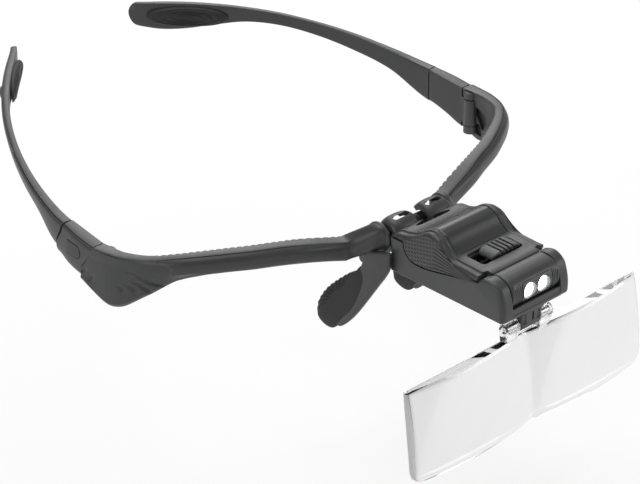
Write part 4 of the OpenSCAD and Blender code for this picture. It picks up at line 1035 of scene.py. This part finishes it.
pattern = Finish("leaf_pattern_shaded", IOR=1.5)
along_y, up_z = pattern.split(pattern.node("ShaderNodeTexCoord", out="Object"), "Y", "Z")
tip_y, tip_z = case_y0 - 29.8, 1.8
along_y, up_z = along_y - tip_y, up_z - tip_z
reach = (along_y * along_y + up_z * up_z) ** 0.5
ribs = ((up_z.sum("ARCTAN2", up_z, along_y) * 84 + 1.2).sine() * 1.6 + 0.5).clamped()
slope_a, slope_b = along_y * 0.81 + up_z * 0.59, up_z * 0.81 - along_y * 0.59
rows_a = (slope_b * 7.6).sine()
rows_b = (slope_a * 4.3 + slope_b * 3.8).sine()
dashes = 1 - (rows_a * 1.8 + 0.1).clamped() * (rows_b * 2.2 + 0.9).clamped()
front_share = ((15.0 - reach) * 0.5).clamped()
relief = ribs * front_share + dashes * (1 - front_share)
# The colour follows the relief, near black in the sunk grooves and lighter than the case on the raised tops:
# painted shade in the grooves and painted light on the tops.
pattern.set(Base_Color=pattern.mix(relief, grey(0.002), grey(0.062)), Roughness=0.5 - 0.06 * relief,
            Normal=pattern.bump(relief, 1.0, 0.35))
panel = settle(slab("leaf_panel_left", leaf, 0.44, 0.18, on_flank))
both_fitted(panel, pattern, "lamp_case", "case_plastic", "top_cover")

# Battery door: the curved top of the hump in a slightly glossier plastic, a thin shell with a nail
# groove at the back. It lies between the ridges and is lifted off to change the cells.
door_rows = [blend(hump_front + 0.4, hump_rear, t / 60) for t in range(61)]


def door_ring(y, thick):
    """Cross-section of the door in (x, z) at y, or of the hollow below it."""
    top = read_off(roof_line, y)
    out = door_w / 2 - (wall if thick else 0)
    low = deck_z - wall - (6 if thick else 1.2)
    top -= wall if thick else 0
    rim = [(out, low), (out, top - 0.35), (out - 0.1, top - 0.12), (out - 0.32, top - 0.01),
           (out - 0.8, top + 0.02)]
    rim += [(x, top + 0.04) for x in (6, 3, 0.5)]
    return [Vector((x, y, z)) for x, z in rim] + [Vector((-x, y, z)) for x, z in reversed(rim)]


door = skinned("door", [door_ring(y, 0) for y in door_rows])
combined(door, [skinned("door_room", [door_ring(y, 1) for y in door_rows[3:-3]])], "DIFFERENCE")
nail_y = hump_rear - 2.2
combined(door, [crossbar("nail", 3.4, nail_y, read_off(roof_line, nail_y) + 1.5, 1.9)], "DIFFERENCE")
gloss = moulded("door_gloss", 0.03, 0.31, 0.5, 0.002, 0.03, 0.2)
door.name = "battery_lid"
fitted(door, gloss, "door", "door_plastic", "battery_door")

# Slide switch knob: a ribbed black moulding with a chamfered end, in the dished slot of the deck. A
# stem under it reaches down into the switch on the circuit board.
knob_x, knob_l, knob_base = (slot_w - knob_w) / 2 - 0.3, 5.2, deck_z - bed + 0.15
board_z, board_t, board_l = -1.4, 1.0, 6.6
knob_half = knob_w / 2
knob_top = flow([(-knob_half, 0.0), (-knob_half + 0.15, 0.7), (-knob_half + 1.2, 1.35), (-2.6, 1.6)], 4)[:-1]
for rib in range(4):
    left = -2.6 + rib * 1.5
    knob_top += [(left, 1.6), (left + 0.12, 0.95), (left + 0.58, 0.95), (left + 0.7, 1.6),
                 (left + 0.95, 1.72), (left + 1.25, 1.72)]
knob_top += [(3.6, 1.6), (4.3, 1.5), (knob_half - 0.25, 0.75), (knob_half, 0.55), (knob_half, 0.0)]
knob_rings = []
for share, tuck in ((-1, 0.5), (-0.97, 0.16), (-0.92, 0.0), (-0.3, 0.0), (0.3, 0.0), (0.92, 0.0),
                    (0.97, 0.16), (1, 0.5)):
    knob_rings.append([Vector((knob_x + x * (1 - 0.03 * tuck),
                               slot_y + share * knob_l / 2 * (0.82 + 0.18 * ease(z, 0.0, 1.3)),
                               knob_base + max(z - tuck, 0.0) + 0.0001 * i))
                       for i, (x, z) in enumerate(knob_top)])
knob = skinned("knob", knob_rings)
stem = block("stem", (knob_travel / 2 - 0.9, slot_y - 0.7, board_z + board_t + 1),
             (knob_travel / 2 + 0.9, slot_y + 0.7, knob_base + 0.3))
combined(knob, [stem], "UNION")
knob_black = moulded("knob_plastic", 0.05, 0.45, 0.2, 0.01, 0.1)
knob.name = "slide_knob"
fitted(knob, knob_black, "switch", "button_plastic", "switch_knob")

# Lamp drum: a curved visor of the case's plastic that tips on two pins between the ears, with fine
# moulded lines round a raised frame and two cups for the lamps.
led_r, led_pitch = 2.0, 5.2
# The visor's radius at angles from straight ahead, in degrees, from under the front over the top
visor_line = [(5.55, -108), (5.6, -85), (5.6, -62), (5.6, -40), (5.62, -15), (5.62, 10), (5.55, 28),
              (5.2, 46), (4.75, 62), (4.5, 78), (4.45, 100), (4.45, 118), (4.46, 135), (4.48, 150),
              (3.2, 165), (2.6, 195), (3.0, 215), (4.4, 236)]


def on_drum(x, r, lift):
    """A point at a radius from the drum's axis, lifted by an angle from straight ahead."""
    return Vector((x, drum_y - r * math.cos(lift), drum_z + r * math.sin(lift)))


visor_rings = []
for share in (-1, -0.985, -0.96, -0.9, -0.5, 0, 0.5, 0.9, 0.96, 0.985, 1):
    tuck = {1: 0.3, 0.985: 0.12, 0.96: 0.02}.get(abs(share), 0)
    visor_rings.append([on_drum(share * drum_w / 2, r - tuck, math.radians(a))
                        for r, a in flow(visor_line, 5)])
visor = skinned("visor", visor_rings)
frame_w, frame_h = led_pitch / 2 + led_r + 0.7, led_r + 0.75
bezel_r, bezel_root, line_r = drum_r + 0.18, 4.2, 5.6
bezel_rings = []
for t in range(33):
    x = -frame_w * math.cos(math.pi * t / 32)
    corner = frame_h - 1 + math.sqrt(max(1 - max(abs(x) - frame_w + 1, 0) ** 2, 0.01))
    arc = [math.asin(corner / bezel_r) * (k / 6 - 1) for k in range(13)]
    bezel_rings.append([on_drum(x, bezel_r, a) for a in arc]
                       + [on_drum(x, bezel_root, a) for a in reversed(arc)])
bezel = skinned("bezel", bezel_rings)
combined(visor, [bezel], "UNION")
cups = []
forward = Matrix.Rotation(math.radians(90), 3, "X")
cup_line = [(0, -3), (led_r + 0.04, -3), (led_r + 0.04, 5.0), (led_r + 0.35, 5.6), (led_r + 0.5, 7)]
for s in (-1, 1):
    cups.append(turned("cup", cup_line, forward, (s * led_pitch / 2, drum_y, drum_z)))
    cups.append(rod("pivot_hole", (s * (drum_w / 2 - 1.2), drum_y, drum_z),
                    (s * (drum_w / 2 + 1), drum_y, drum_z), 0.72, 24))
for k in range(5):
    lift, short = math.radians(32 + 7 * k), 0.9 * k
    cups.append(rod("line", on_drum(short - frame_w, line_r + 0.02, lift),
                    on_drum(frame_w - short, line_r + 0.02, lift), 0.16, 12))
for s in (-1, 1):
    for k in range(4):
        x, fine_r, groove = s * (frame_w + 0.75 + 0.62 * k), 0.13, []
        for a in (math.radians(-30 + 6 * j + 3 * k) for j in range(11 - k)):
            spot, outward = on_drum(x, line_r, a), Vector((0, -math.cos(a), math.sin(a)))
            groove.append([spot + Vector((fine_r * math.cos(b), 0, 0)) + outward * (fine_r * math.sin(b))
                           for b in (math.pi / 4 * q for q in range(8))])
        cups.append(skinned("line", groove))
combined(visor, cups, "DIFFERENCE")
visor.name = "lamp_visor"
fitted(visor, casing, "drum", "case_plastic", "lamp_drum")

# Lamps: two domed emitters of clear resin, set in the cups of the drum and shown lit with a faint
# cool ripple.
lit = Finish("lamp_light", Base_Color=grey(0.95), Roughness=0.15)
centre = lit.node("ShaderNodeTexCoord", out="Object")
ripple = lit.node("ShaderNodeTexVoronoi", (), {"Vector": centre, "Scale": 900.0}, out="Distance")
lit_shade = lit.mix(ripple, grey(1.0), (0.86, 0.93, 1.0, 1))
lit.set(Base_Color=lit_shade, Emission_Color=lit_shade, Emission_Strength=9.0)
dome_line = [(led_r, 0.6), (led_r, 3.7), (led_r * 0.97, 4.3), (led_r * 0.87, 4.85), (led_r * 0.7, 5.28),
             (led_r * 0.45, 5.6), (led_r * 0.2, 5.76), (0, 5.8)]
for s, name in ((1, "left"), (-1, "right")):
    lamp = turned(f"lamp_dome_{name}", dome_line, forward, (s * led_pitch / 2, drum_y, drum_z), 48)
    fitted(settle(lamp), lit, "drum", "lamp_glow", f"led_{name}")

# Lens hook: a clip moulded in the case's dark plastic, with a foot under the tray, a slit down the front
# of its stem and a round eye for the lens pin.
hook_w, hook_y, pin_z, pin_r = 7.6, case_y1 + 3.4, floor_z - 4.6, 0.8
eye_r = 1.9


def round_eye(first, step):
    """Points in (y, z) round the lens pin, from a first angle on."""
    return [(hook_y + eye_r * math.cos(a), pin_z + eye_r * math.sin(a))
            for a in (math.radians(first + step * k) for k in range(23))]


stem_line = [(hook_y - 2.6, floor_z), (hook_y + 4, floor_z), (hook_y + 4, floor_z - 0.55),
             (hook_y + 3.7, floor_z - 0.9), (hook_y + 2.6, floor_z - 0.95), (hook_y + 2.05, floor_z - 1.4),
             (hook_y + eye_r, floor_z - 2.2)]
stem_line += round_eye(0, -8)
stem_line += [(hook_y - 1.85, floor_z - 1.6), (hook_y - 2.1, floor_z - 1.1), (hook_y - 2.6, floor_z - 0.8)]
clip_rings = []
for share, tuck in ((-1, 0.35), (-0.98, 0.12), (-0.94, 0), (0, 0), (0.94, 0), (0.98, 0.12), (1, 0.35)):
    clip_rings.append([Vector((share * hook_w / 2, hook_y + (y - hook_y) * (1 - tuck / 3),
                               min(z + tuck * (z < pin_z), floor_z))) for y, z in stem_line])
clip = skinned("clip", clip_rings)
pin_play = 0.15
slit = [crossbar("eye", hook_w, hook_y, pin_z, pin_r + pin_play)]
slit.append(block("slit", (0.25, hook_y - 4, pin_z + 0.6), (0.8, hook_y - 1.0, floor_z - 1.0)))
for s in (-1, 1):
    slit.append(rod("flute", (s * 2.6, hook_y - 2.35, pin_z + 0.4),
                    (s * 2.6, hook_y - 2.35, floor_z - 1.2), 0.75, 24))
combined(clip, slit, "DIFFERENCE")
clip.name = "lens_clip"
fitted(clip, casing, "lamp_case", "case_plastic", "lens_hook")

# Twin lens: one clear acrylic moulding, flat behind, with two domed fronts that meet in a shallow line,
# rounded lower corners, and two tabs whose eyes turn on the pin.
lens_w, lens_h, lens_edge, lens_r, lens_corner, lens_lean = 88.0, 26.0, 2.4, 100.0, 3.0, 7
lens_top, tab_x, tab_w = pin_z - 3.6, hook_w / 2 + 0.2, 4.5
lens_mid = lens_edge + lens_r - math.sqrt(lens_r ** 2 - (lens_w / 4) ** 2)
lean_turn = Matrix.Rotation(math.radians(-lens_lean), 3, "X")
lens_place = Vector((0, hook_y + 1.5, lens_top))
edge_round = 0.35


def dome(x, z):
    """Distance of the lens front from its flat back, at a spot of the face."""
    flat = (abs(x) - lens_w / 4) ** 2 + (z + 0.55 * lens_h) ** 2
    crest = lens_mid - lens_r + math.sqrt(lens_r ** 2 - flat)
    meet = 0.06 * math.exp(-(x / 0.5) ** 2)
    return crest + meet


lens_grid = bmesh.new()


def lens_vert(x, y, z):
    """A new vertex of the lens, from a spot on the upright lens."""
    return lens_grid.verts.new((lean_turn @ Vector((x, y, z)) + lens_place) * MM)


columns, rows = 176, 52
front, rear = [], []
for i in range(columns + 1):
    x = -lens_w / 2 + lens_w * i / columns
    over = max(abs(x) - (lens_w / 2 - lens_corner), 0)
    rise = lens_corner - math.sqrt(max(lens_corner ** 2 - over ** 2, 0))
    front.append([])
    rear.append([])
    for j in range(rows + 1):
        z = blend(0, -lens_h + rise, j / rows)
        rim = min(lens_w / 2 - abs(x), -z, z + lens_h - rise)
        tuck = edge_round * (1 - ease(rim, 0, 0.9))
        front[-1].append(lens_vert(x, -dome(x, z) + tuck, z))
        rear[-1].append(lens_vert(x, -tuck, z))
for i in range(columns):
    for j in range(rows):
        lens_grid.faces.new((front[i][j], front[i][j + 1], front[i + 1][j + 1], front[i + 1][j]))
        lens_grid.faces.new((rear[i][j], rear[i + 1][j], rear[i + 1][j + 1], rear[i][j + 1]))
    for j, turn in ((0, 1), (rows, -1)):
        ring = (front[i][j], front[i + 1][j], rear[i + 1][j], rear[i][j])
        lens_grid.faces.new(ring if turn > 0 else tuple(reversed(ring)))
for j in range(rows):
    for i in (0, columns):
        lens_grid.faces.new((front[i][j], rear[i][j], rear[i][j + 1], front[i][j + 1]))
bmesh.ops.recalc_face_normals(lens_grid, faces=lens_grid.faces)
lens = finished("lens", lens_grid)
tab_line = [(lens_place.y - 2.55, lens_top - 1.2), (lens_place.y - 2.6, lens_top + 0.6)]
tab_line += round_eye(215, -10)
tab_line += [(lens_place.y - 0.15, lens_top + 0.6), (lens_place.y - 0.3, lens_top - 1.2)]
tabs = []
for s in (-1, 1):
    lo, hi = sorted((s * tab_x, s * (tab_x + tab_w)))
    edges = ((lo, 0.1), (lo + 0.15, 0.02), (lo + 0.4, 0), (hi - 0.4, 0), (hi - 0.15, 0.02), (hi, 0.1))
    tabs.append(skinned("tab", [[Vector((x, y + (hook_y - y) * tuck, z)) for y, z in tab_line]
                                for x, tuck in edges]))
combined(lens, tabs, "UNION")
combined(lens, [crossbar("lens_bore", 20, hook_y, pin_z, pin_r + pin_play)], "DIFFERENCE")
acrylic = Finish("clear_acrylic", IOR=1.49, Transmission_Weight=1.0)
place = acrylic.node("ShaderNodeTexCoord", out="Object")
smear = acrylic.noise(place, 60.0, 5.0, Distortion=1.5)
hair = acrylic.node("ShaderNodeTexWave", {"wave_type": "BANDS"},
                    {"Vector": place, "Scale": 420.0, "Distortion": 9.0, "Detail": 3.0})
acrylic.set(Base_Color=acrylic.mix(smear, grey(0.83), grey(0.88)),
            Roughness=(smear - 0.55).clamped() * 0.2 + 0.015,
            Normal=acrylic.bump(smear + 0.1 * hair, 0.12, 0.02))
lens.name = "twin_lens"
fitted(lens, acrylic, "lens", "clear_acrylic", "lens")
# The lens's end faces are left matt by the cutter
milled = Finish("milled_rim", IOR=1.49, Transmission_Weight=0.45)
mill = milled.noise(milled.node("ShaderNodeTexCoord", out="Object"), 700.0, 4.0)
milled.set(Base_Color=milled.mix(mill, grey(0.72), grey(0.9)), Roughness=0.4 + 0.2 * mill,
           Normal=milled.bump(mill, 0.3, 0.02))
lens.data.materials.append(milled.material)
for face in lens.data.polygons:
    if abs(face.normal.x) > 0.5 and abs(face.center.x) > (lens_w / 2 - lens_corner - 0.2) * MM:
        face.material_index = 1

# Pins: ground steel rods with chamfered ends, pressed through the hubs, the temple hinges, the ears of
# the tray and the lens hook.
steel = Finish("ground_steel", Metallic=1.0, IOR=2.5)
place = steel.node("ShaderNodeTexCoord", out="Object")
turned_marks, stain = steel.noise(place, 2600.0, 2.0), steel.noise(place, 300.0, 3.0)
steel.set(Base_Color=steel.mix(stain, grey(0.46), grey(0.62)), Roughness=0.26 + 0.16 * turned_marks,
          Normal=steel.bump(turned_marks, 0.4, 0.01))


def pin(name, start, end, r, body, node):
    """A rod with chamfered ends and a shallow centre mark."""
    start, end = Vector(start), Vector(end)
    length, turn = (end - start).length, (end - start).to_track_quat("Z", "Y").to_matrix()
    c = 0.28 * r
    line = [(0, 0.12), (0.25 * r, 0.0), (r - c, 0), (r - 0.3 * c, 0.3 * c), (r, c), (r, length - c),
            (r - 0.3 * c, length - 0.3 * c), (r - c, length), (0.25 * r, length), (0, length - 0.12)]
    fitted(settle(turned(name, line, turn, start, 40)), steel, body, "steel", node)


pin("tilt_rod", (-hub_x - 1.6, tilt_y, tilt_z), (hub_x + 1.6, tilt_y, tilt_z), 0.9, "frame", "tilt_pin")
for s, hand in ((1, "left"), (-1, "right")):
    x = s * fold[0]
    pin(f"fold_rod_{hand}", (x, fold[1], lug_bottom - 2.6), (x, fold[1], corner_top - 1.05), 0.8, "frame",
        f"fold_pin_{hand}")
    pin(f"drum_rod_{hand}", (s * (drum_w / 2 - 1.05), drum_y, drum_z), (s * (ear_in + 1.5), drum_y, drum_z),
        0.66, "lamp_case", "drum_pins")
lens_rod_x = tab_x + tab_w - 0.3
pin("lens_rod", (-lens_rod_x, hook_y, pin_z), (lens_rod_x, hook_y, pin_z), pin_r, "lamp_case", "lens_pin")

# Case screws: four small steel cross-head screws with a sunk flat head, driven up from under the tray
# into the posts of the cover.
for i, spot in enumerate(screw_spots):
    low, r = floor_z + 0.08, 1.38
    shaft = [(0, 0.32), (0.3, 0.0), (0.95 * r, 0.02), (r, 0.12), (r, 0.7), (0.82, 0.92)]
    for k in range(16):
        h = 1.05 + 0.52 * k
        shaft += [(0.7, h), (0.7, h + 0.1), (0.52, h + 0.26), (0.52, h + 0.36)]
    shaft += [(0.3, 9.5), (0, 9.75)]
    screw = turned(f"case_screw_{i}", shaft, None, (*spot, low), 36)
    cross = [block("arm", (spot[0] - a, spot[1] - b, low - 1), (spot[0] + a, spot[1] + b, low + 0.5))
             for a, b in ((0.85, 0.18), (0.18, 0.85))]
    combined(screw, cross, "DIFFERENCE")
    fitted(screw, steel, "lamp_case", "steel", "case_screws")

# Button cells: three coins of nickelled steel with a crimped ring round each, stacked crosswise in the
# cradle under the hump.
nickel = Finish("cell_nickel", Metallic=1.0, IOR=2.3)
scuff = nickel.noise(nickel.node("ShaderNodeTexCoord", out="Object"), 900.0, 4.0)
nickel.set(Base_Color=nickel.mix(scuff, grey(0.52), grey(0.72)), Roughness=0.18 + 0.2 * scuff,
           Normal=nickel.bump(scuff, 0.3, 0.01))
r, t = cell_d / 2, cell_t
coin_line = [(0, 0.02), (r - 0.9, 0.02), (r - 0.7, 0.16), (r - 0.25, 0.1), (r - 0.05, 0.25), (r, 0.5),
             (r, t - 0.75), (r - 0.12, t - 0.55), (r - 0.5, t - 0.5), (r - 0.62, t - 0.62),
             (r - 0.8, t - 0.6), (r - 1.0, t - 0.16), (r - 1.25, t - 0.03), (0, t - 0.03)]
for i in range(3):
    coin = turned(f"coin_cell_{i}", coin_line, sideways, (-stack / 2 + i * t, cell_y, cell_z), 72)
    fitted(settle(coin), nickel, "lamp_case", "cell_steel", "button_cells")

# Battery contacts: strips of brass sheet bent to shape and set in the tray, a flat plate at one end of
# the stack and a sprung one at the other.
brass = Finish("contact_brass", Metallic=1.0, IOR=2.0)
place = brass.node("ShaderNodeTexCoord", out="Object")
drawn, tarnish = brass.noise(place, 1800.0, 3.0), brass.noise(place, 240.0, 4.0)
brass.set(Base_Color=brass.mix(tarnish, (0.55, 0.36, 0.12, 1), (0.8, 0.56, 0.22, 1)),
          Roughness=0.24 + 0.22 * drawn, Normal=brass.bump(drawn, 0.3, 0.01))


def strip(name, path, y0, y1, thick, node):
    """A bent strip along a path in (x, z), between two y, its thickness inward of the path."""
    count, sides = len(path), []
    for i, p in enumerate(path):
        way = (Vector(path[min(i + 1, count - 1)]) - Vector(path[max(i - 1, 0)])).normalized()
        sides.append((Vector(p), Vector(p) + Vector((way.y, -way.x)) * thick))
    c = min(0.5, (y1 - y0) / 6)
    rings = []
    for (a, b), narrow in zip(sides, [c] + [0] * (count - 2) + [c]):
        lo, hi = y0 + narrow, y1 - narrow
        rings.append([(a.x, lo, a.y), (a.x, hi, a.y), (b.x, hi, b.y), (b.x, lo, b.y)])
    fitted(settle(skinned(name, rings), 50), brass, "lamp_case", "contact_brass", node)


plate_foot, stack_end = floor_z + wall + 0.02, stack / 2
flat_path = [(stack_end + 0.02, z) for z in (plate_foot, cell_z - 1.5, cell_z, cell_z + 2.4, cell_z + 3.38)]
strip("flat_contact", flow(flat_path, 6), cell_y - 3, cell_y + 3, 0.26, "contact_plate")
sprung_path = [(-bay_x + 0.28, plate_foot), (-bay_x + 0.28, cell_z - 1), (-bay_x + 0.3, cell_z + 1.9),
               (-bay_x + 0.75, cell_z + 2.45), (-6.0, cell_z + 2.5), (-stack_end - 0.75, cell_z + 2.4),
               (-stack_end - 0.3, cell_z + 1.9), (-stack_end - 0.05, cell_z),
               (-stack_end - 0.3, cell_z - 2.3)]
strip("sprung_contact", flow(sprung_path, 6), cell_y - 2, cell_y + 2, 0.24, "contact_spring")

# Circuit board: a green lacquered glass-fibre board on two props under the switch, with printed tracks,
# four corner holes, two notches in its front edge and a row of solder joints.
board_green = Finish("board_green", IOR=1.52)
place = board_green.node("ShaderNodeTexCoord", out="Object")
board_x, board_y = board_green.split(place, "X", "Y")
weave = board_green.noise(place, 3000.0, 2.0)
runs = ((board_y - slot_y) * 4.2 + 0.6 * (board_x * 0.9).sine()).sine()
track = ((runs - 0.55) * 8).clamped()
board_green.set(Base_Color=board_green.mix(track, (0.006, 0.05, 0.02, 1), (0.02, 0.13, 0.045, 1)),
                Roughness=0.3 + 0.15 * weave, Normal=board_green.bump(track + 0.2 * weave, 0.6, 0.03))
board = block("circuit_plate", (-board_w / 2, slot_y - board_l / 2, board_z),
              (board_w / 2, slot_y + board_l / 2, board_z + board_t))
nicks = [rod("hole", (x, y, board_z - 1), (x, y, board_z + 2), 0.32, 20)
         for x in (-6.3, 6.3) for y in (slot_y - 2.4, slot_y + 2.4)]
nicks += [rod("edge_notch", (x, slot_y - board_l / 2, board_z - 1), (x, slot_y - board_l / 2, board_z + 2),
              0.55, 24) for x in (-4, 4)]
combined(board, nicks, "DIFFERENCE")
fitted(board, board_green, "lamp_case", "board_green", "circuit_board")
for k in range(5):
    bead = turned(f"solder_{k}", [(0.5, 0), (0.42, 0.12), (0.28, 0.26), (0.12, 0.36), (0, 0.38)], None,
                  (-4 + 2 * k, slot_y + 2.75, board_z + board_t - 0.02), 20)
    fitted(settle(bead), steel, "lamp_case", "board_green", "circuit_board")

# Slide switch body: a black moulded box soldered to the board, with a long opening for the knob's stem
# and two grooves down its front.
jet = moulded("switch_black", 0.012, 0.35, 0.3, 0.01, 0.1, 0.2)
box_half, box_deep, box_foot = 5, 1.9, board_z + board_t
box_top = box_foot + 2
box_corners = ((-box_half, -box_deep), (box_half, -box_deep), (box_half, box_deep), (-box_half, box_deep))
switch = skinned("switch_box", [[(x * (1 - k), slot_y + y * (1 - 2 * k), z) for x, y in box_corners]
                                for z, k in ((box_foot, 0.02), (box_foot + 0.15, 0), (box_top - 0.2, 0),
                                             (box_top, 0.03))])
carve = [block("run", (-knob_travel / 2 - 2, slot_y - 0.9, box_foot + 0.8),
               (knob_travel / 2 + 2, slot_y + 0.9, 10))]
carve += [block("groove", (x - 0.12, slot_y - 3, box_foot + 0.5), (x + 0.12, slot_y - 1.75, box_top + 1))
          for x in (-3, 3)]
combined(switch, carve, "DIFFERENCE")
switch.name = "switch_case"
fitted(switch, jet, "lamp_case", "switch_black", "switch_body")
